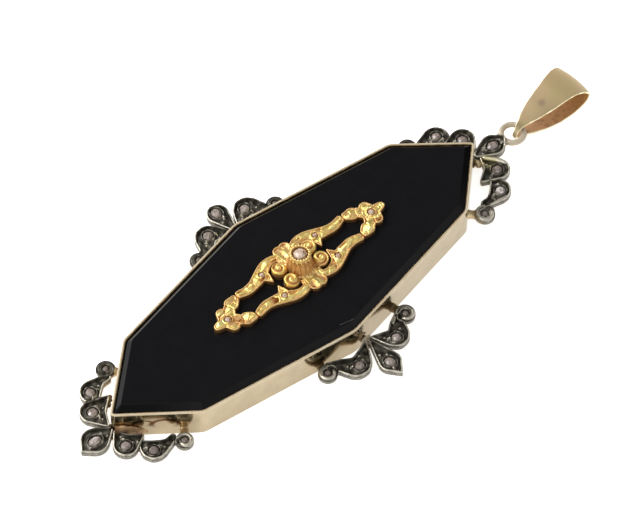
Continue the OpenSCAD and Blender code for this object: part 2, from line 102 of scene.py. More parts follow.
OVERLAY_STONES = [
    (0, 0, 0.95), (0, 12, 0.5), (0, -12, 0.5),
    (2.1, 4.45, 0.42), (-2.1, 4.45, 0.42), (2.1, -4.45, 0.42), (-2.1, -4.45, 0.42),
]
OVERLAY_X, OVERLAY_Y, OVERLAY_BOTTOM, OVERLAY_TOP, BOSS_TOP = -0.15, 1.05, 4.98, 5.73, 8.23
HANGER_X, RING_Y, RING_RADIUS, RING_Z, WIRE = 0.6, 36.84, 1.45, 1.2, 0.38
BAND, BAIL_X, SWING_Y, BAIL_TURN = 0.38, 0.8, 38.21, math.radians(4)

# Direction of the wall that rises to the right of the lower tip
RUN_X, RUN_Y = 0.645, 0.764


def wall_point(along, out):
    """A place beside that wall: how far along it from the tip, and how far out of the onyx's edge."""
    return RUN_X * along + RUN_Y * out, RUN_Y * along - RUN_X * out - TIP_DOWN


# Materials

class Nodes:
    """Short calls that add nodes to a material or a world. A value is a socket, a number or a tuple."""

    def __init__(self, owner):
        owner.use_nodes = True
        self.owner = owner
        self.tree = owner.node_tree

    def feed(self, target, value):
        if isinstance(value, bpy.types.NodeSocket):
            self.tree.links.new(value, target)
        else:
            target.default_value = (*value, 1) if target.type == "RGBA" else value

    def add(self, kind, *values, output=0, **settings):
        """One output of a new node, whose first inputs get the values."""
        node = self.tree.nodes.new("ShaderNode" + kind)
        for key, setting in settings.items():
            setattr(node, key, setting)
        for target, value in zip(node.inputs, values):
            self.feed(target, value)
        return node.outputs[output]


class Look(Nodes):
    """A material, with its object coordinates in millimetres as place."""

    def __init__(self, name, **values):
        super().__init__(bpy.data.materials.new(name))
        self.shader = self.tree.nodes["Principled BSDF"]
        self.place = self.coordinates((1, 1, 1))
        self.set(**values)

    def set(self, **values):
        """Set the shader's inputs, named with _ for a space."""
        for name, value in values.items():
            self.feed(self.shader.inputs[name.replace("_", " ")], value)

    def coordinates(self, stretch):
        mapping = self.tree.nodes.new("ShaderNodeMapping")
        mapping.inputs["Scale"].default_value = [s / MM for s in stretch]
        self.feed(mapping.inputs["Vector"], self.add("TexCoord", output="Object"))
        return mapping.outputs["Vector"]

    def attribute(self, name):
        return self.add("Attribute", attribute_name=name, output="Fac")

    def noise(self, scale, detail=4.0, roughness=0.55, place=None):
        where = self.place if place is None else place
        return self.add("TexNoise", where, 0.0, scale, detail, roughness, output="Fac")

    def ramp(self, factor, stops):
        """A ramp from a list of (position, value or colour)."""
        node = self.tree.nodes.new("ShaderNodeValToRGB")
        elements = node.color_ramp.elements
        while len(elements) < len(stops):
            elements.new(0.5)
        for element, (position, value) in zip(elements, stops):
            colour = (value, value, value) if isinstance(value, (int, float)) else value
            element.position = position
            element.color = (*colour, 1)
        self.feed(node.inputs["Fac"], factor)
        return node.outputs["Color"]

    def blend(self, factor, first, second, mode="MIX"):
        node = self.tree.nodes.new("ShaderNodeMix")
        node.data_type = "RGBA"
        node.blend_type = mode
        for index, value in ((0, factor), (6, first), (7, second)):
            self.feed(node.inputs[index], value)
        return node.outputs[2]

    def spot(self, centre, inner, outer):
        """1 within the inner distance of a place, falling to 0 at the outer distance."""
        reach = self.add("VectorMath", self.place, centre, operation="DISTANCE", output="Value")
        return self.add("MapRange", reach, inner, outer, 1.0, 0.0)

    def span(self, axis, low, high):
        """0 at the low end of a stretch along an axis and 1 at its high end."""
        return self.add("MapRange", self.add("SeparateXYZ", self.place, output=axis), low, high)

    def arc(self, centre, long_radius, high_radius):
        """1 on the upper part of an ellipse that lies in the wall beside the lower tip, and 0 off it."""
        offset = self.add("VectorMath", self.place, centre, operation="SUBTRACT")
        axes = ((RUN_X, RUN_Y, 0, long_radius), (0, 0, 1, high_radius), (RUN_Y, -RUN_X, 0, 0.8))
        shares = [
            self.add("VectorMath", offset, (x / r, y / r, z / r), operation="DOT_PRODUCT", output="Value")
            for x, y, z, r in axes
        ]
        joined = self.add("CombineXYZ", *shares)
        reach = self.add("VectorMath", joined, operation="LENGTH", output="Value")
        line = self.ramp(self.add("MapRange", reach, 0.0, 2.0), [(0.33, 0), (0.43, 1), (0.52, 1), (0.6, 0)])
        return self.blend(self.span("Z", centre[2] - 0.7, centre[2] + 0.1), (0, 0, 0), line)

    def bump(self, height, distance):
        node = self.tree.nodes.new("ShaderNodeBump")
        node.inputs["Strength"].default_value = 1.0
        node.inputs["Distance"].default_value = distance * MM
        self.feed(node.inputs["Height"], height)
        self.feed(self.shader.inputs["Normal"], node.outputs["Normal"])


def gold(name, light, deep, roughness, grain=0.02, scale=1.5, metallic=1.0, painted_arcs=()):
    """Gold with cloudy variation of colour and gloss, a fine uneven surface, and brown arcs of painted
    reflection and shadow where any are given.
    """
    look = Look(name, Metallic=metallic)
    clouds = look.noise(scale * 0.35, 3)
    fine = look.noise(scale * 4, 5, 0.65)
    colour = look.blend(look.ramp(clouds, [(0.35, 0), (0.7, 1)]), light, deep)
    # Brown of the arcs: painted reflection and shadow of the ornament in the polished wall
    painted_arc_brown = (0.105, 0.045, 0.014)
    for painted_arc in painted_arcs:
        colour = look.blend(look.arc(*painted_arc), colour, painted_arc_brown)
    gloss = look.ramp(fine, [(0.3, roughness * 0.75), (0.75, roughness * 1.4)])
    look.set(Base_Color=colour, Roughness=gloss)
    look.bump(fine, grain)
    return look.owner


def shaded_worn_metal(name, metallic, grime, grime_share, fine_scale, gloss, depth):
    """A look for old metal, its grime, and its wear from 0 where it is sunk to 1 on its edges, which also
    carries painted shade and painted highlights.
    """
    look = Look(name, Metallic=metallic)
    clouds = look.noise(*grime)
    patches = look.ramp(clouds, [(0.3, 0.1), (0.7, 0.9)])
    surface_map = look.blend(grime_share, look.attribute("polish"), patches, "OVERLAY")
    look.set(Roughness=look.ramp(surface_map, gloss))
    look.bump(look.noise(fine_scale, 4, 0.6), depth)
    return look, clouds, surface_map


def silver():
    """Old silver: bright on its worn edges, with painted shade on edges turned away from the light, nearly
    black where it is sunk, gold on its underside, and one painted yellow glint.
    """
    gloss = [(0.1, 0.48), (0.9, 0.3)]
    look, grime, surface_map = shaded_worn_metal("oxidised silver", 0.95, (1.7, 6, 0.68), 0.45, 8, gloss, depth=0.03)
    colour = look.ramp(surface_map, [
        (0.03, (0.03, 0.027, 0.021)), (0.22, (0.07, 0.065, 0.052)),
        (0.5, (0.17, 0.158, 0.13)), (0.9, (0.54, 0.505, 0.425)),
    ])
    # A painted yellow glint on the silver of the top ornament
    yellow_glint = look.ramp(surface_map, [
        (0.2, (0.1, 0.08, 0.03)), (0.5, (0.42, 0.36, 0.14)), (0.9, (0.86, 0.8, 0.42)),
    ])
    yellow_glint_place = (1.98, 31.4, 2.4)
    colour = look.blend(look.spot(yellow_glint_place, 0.5, 1.7), colour, yellow_glint)
    gilt = look.blend(look.ramp(grime, [(0.35, 0), (0.65, 1)]), (0.4, 0.3, 0.16), (0.2, 0.12, 0.06))
    look.set(Base_Color=look.blend(look.attribute("gilt"), colour, gilt))
    return look.owner


def overlay_gold():
    """Engraved gold, with painted shade and painted highlights in its colour: orange and matte where it is
    low, yellow and bright where it is cut or raised.
    """
    gloss = [(0.3, 0.5), (0.85, 0.29)]
    look, _, surface_map = shaded_worn_metal("engraved gold", 0.92, (1.6, 5, 0.65), 0.35, 12, gloss, depth=0.015)
    look.set(Base_Color=look.ramp(surface_map, [
        (0.05, (0.25, 0.09, 0.02)), (0.3, (0.58, 0.32, 0.12)), (0.5, (0.73, 0.485, 0.21)),
        (0.68, (0.72, 0.53, 0.15)), (0.95, (0.88, 0.73, 0.29)),
    ]))
    return look.owner


def bail_gold():
    """Satin gold outside, painted darker near the ring as painted shade, with painted highlights on its edge
    and a dark patch painted as the shade of one dent; coppery, brushed and spotted inside.
    """
    look = Look("satin gold", Metallic=0.5)
    polish = look.attribute("polish")
    brush = look.noise(6, 4, 0.6, look.coordinates((1, 0.25, 1)))
    clouds = look.ramp(look.noise(0.5, 4, 0.6), [(0.4, 0), (0.62, 1)])
    outer = look.blend(clouds, (0.5, 0.396, 0.196), (0.53, 0.38, 0.21))
    # Painted shade and light: darker near the ring, lighter towards the fold
    far = look.span("Y", 38.0, 48.0)
    outer = look.blend(1.0, outer, look.ramp(far, [(0, 0.58), (0.35, 0.5), (0.6, 0.7), (1, 1)]), "MULTIPLY")
    # Painted highlights along the edge
    glints = look.ramp(look.noise(0.9, 3), [(0.42, (0.6, 0.5, 0.28)), (0.62, (1, 0.93, 0.68))])
    outer = look.blend(look.ramp(polish, [(0.2, 0), (0.7, 1)]), outer, glints)
    # A dark patch painted as the shade of one dent, which the band's shape lacks
    dent_shade = look.spot((0.72, 41.85, 3.1), 0.1, 0.75)
    outer = look.blend(dent_shade, outer, (0.16, 0.105, 0.07))
    spots = look.ramp(look.noise(0.9, 5, 0.75), [(0.46, 0), (0.7, 0.8)])
    copper = look.blend(far, (0.62, 0.4, 0.235), (0.43, 0.235, 0.075))
    inner = look.blend(spots, copper, (0.17, 0.08, 0.03))
    look.set(
        Base_Color=look.blend(look.attribute("inside"), outer, inner),
        Roughness=look.blend(polish, (0.55, 0.55, 0.55), (0.3, 0.3, 0.3)),
    )
    look.bump(brush, 0.03)
    return look.owner


def onyx():
    """Polished black stone with faint wear, and painted shade and reflection on its bevels: darker on the
    left ones and greyer on the right ones.
    """
    look = Look("black onyx", IOR=1.54, Specular_IOR_Level=0.06)
    surface_map = look.noise(0.5, 5, 0.7)
    face = look.ramp(surface_map, [(0.4, (0.0064, 0.0064, 0.0072)), (0.8, (0.0078, 0.0078, 0.0088))])
    # Painted light on the bevels: painted shade on the left ones, painted reflection on the right ones
    bevel_painted_light = look.ramp(look.span("X", -6.0, 10.0), [
        (0, (0.0008, 0.0008, 0.0009)), (0.55, (0.0025, 0.0025, 0.0028)), (0.9, (0.0125, 0.0125, 0.0132)),
    ])
    colour = look.blend(look.span("Z", 4.84, 4.94), bevel_painted_light, face)
    look.set(Base_Color=colour, Roughness=look.ramp(surface_map, [(0.35, 0.04), (0.8, 0.1)]))
    return look.owner


def diamond(name, stops):
    """Old rose-cut diamond over a dull foil, with sharp reflections from its facets, and each facet's tone
    painted as a painted reflection, up to a white painted highlight.
    """
    look = Look(name, Roughness=0.12, IOR=1.9, Transmission_Weight=0.12)
    clouds = look.ramp(look.noise(2.2, 4, 0.7), [(0.35, 0), (0.65, 1)])
    look.set(Base_Color=look.ramp(look.blend(0.38, look.attribute("tone"), clouds), stops))
    return look.owner


def floor_white():
    look = Look("pale floor", Roughness=0.8, Emission_Color=(1, 1, 1), Emission_Strength=0.75)
    look.set(Base_Color=look.ramp(look.noise(0.2, 3), [(0.3, 0.8), (0.7, 0.84)]))
    return look.owner


# Brown arcs of painted reflection and shadow on the wall beside the lower tip: centre, long radius and high
# radius
PAINTED_ARCS = [
    ((*wall_point(6.2, RIM_WIDTH), 2.1), 1.75, 0.95),
    ((*wall_point(3.55, RIM_WIDTH), 2.35), 1.25, 0.62),
]
CASE_GOLD = gold("case gold", (0.445, 0.365, 0.238), (0.4, 0.322, 0.208), 0.1, grain=0.006, painted_arcs=PAINTED_ARCS)
RIM_GOLD = gold("worn rim gold", (0.6, 0.51, 0.36), (0.54, 0.43, 0.28), 0.45, grain=0.01, metallic=0.5)
RING_GOLD = gold("ring gold", (0.5, 0.435, 0.345), (0.44, 0.37, 0.27), 0.45, metallic=0.35)
SOLDER_GOLD = gold("solder gold", (0.66, 0.54, 0.34), (0.3, 0.19, 0.09), 0.32, grain=0.04, scale=1.8)
BROWN_SOLDER = gold(
    "brown solder", (0.5, 0.34, 0.19), (0.15, 0.07, 0.03), 0.3, grain=0.06, scale=2.6, metallic=0.85,
)
SCRATCH = gold("scratched onyx", (0.16, 0.16, 0.17), (0.03, 0.03, 0.035), 0.5, metallic=0)
# Dark solder, also laid on the seam and, as painted shade, on the posts of the side ornaments
DARK_SOLDER_AND_SHADE = gold("dark solder", (0.24, 0.17, 0.09), (0.06, 0.04, 0.022), 0.3, grain=0.1, scale=2.5)
SILVER = silver()
OVERLAY_GOLD = overlay_gold()
BAIL_GOLD = bail_gold()
ONYX = onyx()
# The last stop of the diamond is a white painted highlight
DIAMOND = diamond("rose-cut diamond", [
    (0.1, (0.07, 0.06, 0.052)), (0.45, (0.21, 0.168, 0.146)),
    (0.8, (0.42, 0.36, 0.325)), (1, (0.95, 0.93, 0.9)),
])
WARM_DIAMOND = diamond("rosy diamond", [
    (0.2, (0.22, 0.13, 0.08)), (0.6, (0.48, 0.33, 0.24)), (0.95, (0.74, 0.6, 0.5)),
])


# Pieces

def make_piece(name, points, faces, material, slot, body=PENDANT, smooth=True, **attributes):
    """A mesh from points in millimetres and faces with any number of corners, riding on a body."""
    mesh = bpy.data.meshes.new(name)
    points = np.asarray(points, float)
    sizes = np.array([len(face) for face in faces])
    corners = np.concatenate(faces)
    mesh.vertices.add(len(points))
    mesh.vertices.foreach_set("co", (points * MM).ravel())
    mesh.loops.add(len(corners))
    mesh.loops.foreach_set("vertex_index", corners.astype(np.int32))
    mesh.polygons.add(len(sizes))
    mesh.polygons.foreach_set("loop_start", (np.cumsum(sizes) - sizes).astype(np.int32))
    mesh.polygons.foreach_set("use_smooth", np.full(len(sizes), smooth))
    mesh.update(calc_edges=True)
    for key, values in attributes.items():
        mesh.attributes.new(key, "FLOAT", "POINT").data.foreach_set("value", np.asarray(values, np.float32))
    mesh.validate()
    mesh.materials.append(material)
    piece = bpy.data.objects.new(name, mesh)
    bpy.context.scene.collection.objects.link(piece)
    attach(piece, body)
    return piece


def grid(rows, columns, join_rows=True, join_columns=True, flipped=False):
    """Quads between rows of points. The last row and column may be joined to the first."""
    counts = (rows if join_rows else rows - 1, columns if join_columns else columns - 1)
    i, k = np.meshgrid(np.arange(counts[0]), np.arange(counts[1]), indexing="ij")
    after, beside = (i + 1) % rows, (k + 1) % columns
    quads = [i * columns + k, after * columns + k, after * columns + beside, i * columns + beside]
    if flipped:
        quads = [quads[0], *quads[:0:-1]]
    return np.stack(quads, -1).reshape(-1, 4)


# Distances, smooth steps and bumps

def bar(x, y, a, b):
    """Signed distance from a tapered bar between two discs (x, y, radius), negative inside."""
    length = math.hypot(b[0] - a[0], b[1] - a[1])
    ux, uy = (b[0] - a[0]) / length, (b[1] - a[1]) / length
    along = (x - a[0]) * ux + (y - a[1]) * uy
    across = np.abs((y - a[1]) * ux - (x - a[0]) * uy)
    taper = (a[2] - b[2]) / length
    lean = math.sqrt(1 - taper * taper)
    turn = lean * along - taper * across
    near = np.hypot(across, along) - a[2]
    far = np.hypot(across, along - length) - b[2]
    flank = across * lean + along * taper - a[2]
    return np.where(turn < 0, near, np.where(turn > lean * length, far, flank))


def chain(x, y, rows):
    return np.minimum.reduce([bar(x, y, a, b) for a, b in zip(rows, rows[1:])])


def disc(x, y, row):
    return np.hypot(x - row[0], y - row[1]) - row[2]


def rounded(rows, steps=5):
    """The rows of a chain with more rows between them on a smooth curve."""
    rows = np.array(rows, float)
    ends = np.vstack([2 * rows[0] - rows[1], rows, 2 * rows[-1] - rows[-2]])
    made = []
    for i in range(1, len(ends) - 2):
        p, q, r, s = ends[i - 1:i + 3]
        bend, twist = 2 * p - 5 * q + 4 * r - s, 3 * q - p - 3 * r + s
        for t in np.arange(steps) / steps:
            made.append(0.5 * (2 * q + (r - p) * t + bend * t ** 2 + twist * t ** 3))
    made.append(rows[-1])
    return [tuple(row) for row in made]


# Walls of the case: a corner (x, y) and the direction out of the wall that starts there
WALLS = []
for (ax, ay), (bx, by) in zip(CORNERS, CORNERS[1:] + CORNERS[:1]):
    length = math.hypot(bx - ax, by - ay)
    WALLS.append((ax, ay, (by - ay) / length, (ax - bx) / length))


def case_distance(x, y):
    """Signed distance from the outside of the case."""
    return np.maximum.reduce([(x - ax) * nx + (y - ay) * ny for ax, ay, nx, ny in WALLS]) - RIM_WIDTH


def ease(value, low, high):
    """0 below low, 1 above high, smooth between."""
    t = np.clip((value - low) / (high - low), 0, 1)
    return t * t * (3 - 2 * t)


def dome(t):
    """A round back: 1 where t is 0, falling to 0 where t is 1 or -1."""
    return np.sqrt(np.clip(1 - t ** 2, 0, 1))


def swell(depth, width):
    """A round shoulder: 0 at depth 0 and 1 from a width on."""
    return dome(1 - np.clip(depth / width, 0, 1))


def bell(value, centre, width):
    """A soft line: 1 at the centre and near 0 two widths away."""
    return np.exp(-((value - centre) / width) ** 2)


def ripple(x, y, scale, seed):
    """Smooth seeded unevenness from a few waves, from about -1 to 1."""
    rng = np.random.default_rng(seed)
    total = np.zeros_like(x)
    for _ in range(6):
        angle = rng.uniform(0, math.tau)
        wave = scale * rng.uniform(0.6, 1.6)
        total += np.sin((x * math.cos(angle) + y * math.sin(angle)) * wave + rng.uniform(0, math.tau))
    return total / 3


# Size of a relief's cells, half the step over which a slope is measured, and a guard against dividing by 0
CELL, HALF_STEP, TINY = 0.05, 0.004, 1e-9


def slope(distance, x, y):
    """Direction in which a distance grows."""
    gx = distance(x + HALF_STEP, y) - distance(x - HALF_STEP, y)
    gy = distance(x, y + HALF_STEP) - distance(x, y - HALF_STEP)
    size = np.hypot(gx, gy) + TINY
    return gx / size, gy / size


def relief(name, low, high, distance, height, levels, place, material, slot, mirrored=False):
    """A carved plate: its outline is where distance is 0, its top is height(x, y, distance)."""
    xs, ys = (np.arange(start - CELL, end + 2 * CELL, CELL) for start, end in zip(low, high))
    x, y = (axis.copy() for axis in np.meshgrid(xs, ys, indexing="ij"))
    d = distance(x, y)
    inner = d < 0
    near, far = slice(None, -1), slice(1, None)
    parts = ((near, near), (far, near), (far, far), (near, far))
    kept = np.logical_or.reduce([inner[part] for part in parts])
    corner = np.zeros_like(inner)
    for part in parts:
        corner[part] |= kept

    # Corners outside the outline are pulled onto it
    outer = corner & ~inner
    px, py = x[outer], y[outer]
    for _ in range(3):
        gx, gy = slope(distance, px, py)
        off = distance(px, py)
        px, py = px - gx * off, py - gy * off
    x[outer], y[outer], d[outer] = px, py, 0
    z, polish = height(x, y, d)
    number = -np.ones(x.shape, int)
    number[corner] = np.arange(corner.sum())
    quads = np.stack([number[part][kept] for part in parts], 1)
    points = np.stack([x[corner], y[corner], z[corner]], 1)
    shine = polish[corner]
    gilt = np.zeros(len(points))

    # The outline's edges lie between a kept cell and one that isn't
    edges = []
    padded = np.pad(kept, 1)
    walk = [(0, 0), (1, 0), (1, 1), (0, 1)]
    for (di, dj), a, b in zip(((0, -1), (1, 0), (0, 1), (-1, 0)), walk, walk[1:] + walk[:1]):
        beside = padded[1 + di:padded.shape[0] - 1 + di, 1 + dj:padded.shape[1] - 1 + dj]
        i, j = np.nonzero(kept & ~beside)
        edges.append(np.stack([number[i + a[0], j + a[1]], number[i + b[0], j + b[1]]], 1))
    edges = np.concatenate(edges)
    rim = np.unique(edges)
    order = np.zeros(len(points), int)
    order[rim] = np.arange(len(rim))
    a, b = order[edges].T

    # The wall goes down through levels of (how far in, height, shine with painted shading, share of gilt)
    rx, ry, rz = points[rim].T
    gx, gy = slope(distance, rx, ry)
    here, ahead = case_distance(*place(rx, ry)), case_distance(*place(rx + 0.1 * gx, ry + 0.1 * gy))
    towards_case = (1 - ease(here, 1.4, 3.4)) * ease((here - ahead) * 10, -0.3, 0.5)
    above = rim
    for inset, level, value, gilt_share in levels:
        ring = np.stack([rx - gx * inset, ry - gy * inset, np.full(len(rim), float(level))], 1)
        if inset == 0 and level > SILVER_BOTTOM:
            ring[:, 2] = np.minimum(level, rz - 0.02)
        below = len(points) + np.arange(len(rim))
        points = np.vstack([points, ring])
        shine = np.concatenate([shine, np.full(len(rim), value)])
        gilt = np.concatenate([gilt, gilt_share * towards_case])
        quads = np.vstack([quads, np.stack([above[b], above[a], below[a], below[b]], 1)])
        above = below
    placed = np.stack([*place(points[:, 0], points[:, 1]), points[:, 2]], 1)
    if mirrored:
        quads = quads[:, ::-1]
    return make_piece(name, placed, quads, material, slot, polish=shine, gilt=gilt)


# Stones

# Rings of corners of a rose cut, from its base up: share of its half width, share of its height, turn
ROSE_RINGS = ((0.86, 0, 0), (1, 0.25, 0), (0.82, 0.68, 0.5), (0.46, 1, 0.5))
ROSE_SIDES = 8
STONE_PLAY = 0.01


def stone(name, place, centre, base, half_x, half_y, height, seed, tones, material=DIAMOND):
    """An old rose cut with an uneven outline, and its facets' tones in a range."""
    rng = np.random.default_rng(seed)
    points = []
    for share, level, turn in ROSE_RINGS:
        for i in range(ROSE_SIDES):
            a = math.tau * (i + turn) / ROSE_SIDES + rng.uniform(-0.16, 0.16)
            grow = share * rng.uniform(0.9, 1.0)
            lift = height * level * (rng.uniform(0.92, 1.0) if level < 1 else 1)
            x = (half_x - STONE_PLAY) * grow * math.cos(a)
            y = (half_y - STONE_PLAY) * grow * math.sin(a)
            points.append((*place(x + centre[0], y + centre[1]), lift + base))
    faces = [list(range(ROSE_SIDES))[::-1]]
    shades = [0.5]
    for k in range(len(ROSE_RINGS) - 1):
        for i in range(ROSE_SIDES):
            a, b = k * ROSE_SIDES + i, k * ROSE_SIDES + (i + 1) % ROSE_SIDES
            faces += [[a, b, a + ROSE_SIDES], [b, b + ROSE_SIDES, a + ROSE_SIDES]]
            # Each facet's tone is a painted reflection
            shades += [rng.uniform(*tones)] * 2
    faces.append([len(points) - ROSE_SIDES + i for i in range(ROSE_SIDES)])
    shades.append(tones[0] + rng.uniform(0.55, 0.85) * (tones[1] - tones[0]))
    piece = make_piece(name + ".rose", points, faces, material, "diamond", smooth=False)
    bm = bmesh.new()
    bm.from_mesh(piece.data)
    bmesh.ops.recalc_face_normals(bm, faces=bm.faces)
    bm.to_mesh(piece.data)
    bm.free()
    tone = piece.data.attributes.new("tone", "FLOAT", "FACE")
    tone.data.foreach_set("value", np.array(shades, np.float32))
    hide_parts(name)


# Silver ornaments

# Half widths of the stones, and sizes of the grains beside them at the two ends of a leaf
MIDDLE_STONE, INNER_STONE, OUTER_STONE, SCROLL_STONE = (0.72, 0.98), 0.76, 0.72, 0.5
SIDE_MIDDLE_STONE, SIDE_OUTER_STONE = (0.74, 0.86), 0.74
ROOT_GRAINS, TIP_GRAINS = (0.46, 0.3), (0.34, 0.22)
# Direction (x, y) in which the edges of the silver get painted shade, as turned away from the light
SHADED_X, SHADED_Y = -0.73, 0.68
LEAF_SEED, SCROLL_SEED, LEAF_SEED_STEP, STONE_SEED, STONE_SEED_STEP = 3, 5, 11, 100, 17


class Leaf:
    """One cup of an ornament: its outline, its stone (x, y, half widths), how it is worn, and where it has a
    painted highlight.
    """

    def __init__(self, rows, half_x, half_y=None, centre=None, scroll=None, curved=False):
        self.rows = rounded(rows) if curved else rows
        self.root, self.tip = rows[0], rows[-1]
        self.stone = (*(centre or rows[1])[:2], half_x, half_y or half_x)
        self.scroll = scroll
        self.curved = curved
        self.dull = self.pale = False
        self.bright = []

    def distance(self, x, y):
        return disc(x, y, self.scroll) if self.scroll else chain(x, y, self.rows)


def flip(rows):
    return [(-x, y, r) for x, y, r in rows]


def pyramid(x, y, centre, radius, heading):
    """A three-sided point, 1 at its top and 0 at its foot."""
    dx, dy = x - centre[0], y - centre[1]
    headings = [heading + k * math.tau / 3 for k in range(3)]
    sides = [dx * math.cos(a) + dy * math.sin(a) for a in headings]
    return np.clip(1 - np.maximum.reduce(sides) / radius * 2, 0, 1)


def leaf_surface(leaf, x, y, d, shaded, seed):
    """Height and shine of one cup, worn bright on its edge, with painted shade darkening the edge where
    shaded is 1.
    """
    depth = -d
    wall = 1 - ease(depth, 0.17, 0.32)
    uneven = ripple(x, y, 5, seed)
    rim = EDGE_TOP - 0.13 * (1 - swell(depth, 0.12)) + 0.015 * ripple(x, y, 3, seed + 7)
    field = LEAF_FACE - 0.08 + 0.06 * uneven
    z = field + (rim - field) * wall
    # Worn edges are bright, less so where shaded: painted shade on edges turned away from the light
    polish = 0.17 + 0.17 * uneven + (0.85 - 0.6 * shaded) * wall * ease(depth, -0.05, 0.05)
    polish = polish + 0.08 * ripple(x, y, 2.2, seed + 2) * wall - 0.15 * bell(depth, 0.34, 0.07)

    # A beaded collar round the stone, and the pit it sits in
    sx, sy, half_x, half_y = leaf.stone
    u, v = (x - sx) / half_x, (y - sy) / half_y
    off = (np.hypot(u, v) - 1) * min(half_x, half_y)
    around = np.arctan2(v, u)
    collar = bell(off, 0.1, 0.09) * (1 - wall)
    beads = 0.5 + 0.5 * np.cos(around * 6 + seed) * (0.6 + 0.4 * np.cos(around * 2 + 2 * seed))
    z = np.where(off < 0.3, np.maximum(z, LEAF_FACE - 0.02 + (0.13 + 0.1 * beads) * collar), z)
    polish = polish + collar * (0.16 + 0.5 * beads ** 2) - 0.1 * bell(off, 0.3, 0.08) * (1 - wall)
    floor = STONE_BOTTOM + 0.02
    z = np.where(off < 0.02, floor + (z - floor) * ease(off, -0.06, 0.02), z)
    polish = np.where(off < 0.02, 0.2, polish)
    if leaf.scroll:
        return z, polish

    rng = np.random.default_rng(seed)
    for end, sizes in ((leaf.root, ROOT_GRAINS), (leaf.tip, TIP_GRAINS)):
        heading = math.atan2(end[1] - sy, end[0] - sx)
        reach = math.hypot(end[0] - sx, end[1] - sy)
        for k, size in enumerate(sizes):
            far = max(half_x, half_y) + 0.3 + k * 0.46
            if far > reach - 0.05:
                continue
            side = rng.uniform(-0.35, 0.35)
            centre = (sx + math.cos(heading + side) * far, sy + math.sin(heading + side) * far)
            point = pyramid(x, y, centre, size, heading + rng.uniform(-0.4, 0.4)) * (1 - wall)
            z = z + 0.3 * point * (size / 0.4)
            polish = polish + 0.6 * ease(point, 0.02, 0.3)
    # Raised worn bands, painted bright as a painted highlight
    for start, end in leaf.bright:
        band = -bar(x, y, start, end)
        hump = swell(band, 0.4)
        z = np.where(band > 0, np.maximum(z, LEAF_FACE + 0.36 * hump), z)
        polish = np.where(band > 0, np.maximum(polish, 0.2 + 0.8 * hump), polish)
    return z, np.clip(polish, 0, 1)


def scroll_surface(leaf, mouth, x, y, d, shaded, seed):
    """Height and shine of a scroll end: a fat roll that winds in from the tail of its leaf."""
    cx, cy, radius = leaf.scroll
    z, polish = leaf_surface(leaf, x, y, d, shaded, seed)
    reach = np.hypot(x - cx, y - cy)
    angle = (np.arctan2(y - cy, x - cx) - mouth) % math.tau
    if cx < 0:
        angle = math.tau - angle
    wide = 0.2 + 0.14 * np.sin(angle / 2)
    middle = radius - wide - 0.28 * ease(angle, 3.6, 6.2)
    roll = dome((reach - middle) / wide)
    strength = (1 - ease(angle, 4.9, 6.1)) * (0.5 if leaf.dull else 1)
    core = SCROLL_STONE + 0.2
    floor = LEAF_FACE - 0.14 + 0.03 * ripple(x, y, 8, seed)
    inner = np.where(reach < core, z, floor)
    raised = floor + (EDGE_TOP + 0.02 - floor) * roll * strength
    z = np.where(roll > 0, np.maximum(raised, np.where(reach > middle, floor, inner)), inner)
    # The roll is painted darker where shaded, as painted shade
    bright = ease(roll * strength, 0.3, 0.85) * (1 - 0.6 * shaded)
    low = 0.5 if leaf.pale else 0.1
    polish = np.where(reach < core, np.maximum(polish, low), low)
    polish = np.where(roll > 0, low + (0.92 - low) * bright, polish)

    # The far edge of the leaf runs in through the mouth and curls round the stone
    turn = np.where(angle > 4.5, angle - math.tau, angle)
    line = core - 0.03 + (radius + 0.05 - core) * ease(-turn, -0.45, 0.7)
    thin = dome((reach - line) / 0.12) * (1 - ease(turn, 1.6, 3.2)) * (turn > -1.2)
    thin = thin * (0.4 if leaf.dull else 1)
    z = np.maximum(z, floor + (EDGE_TOP - 0.04 - floor) * thin)
    polish = np.maximum(polish, 0.8 * thin)
    return z, np.clip(polish, 0, 1)


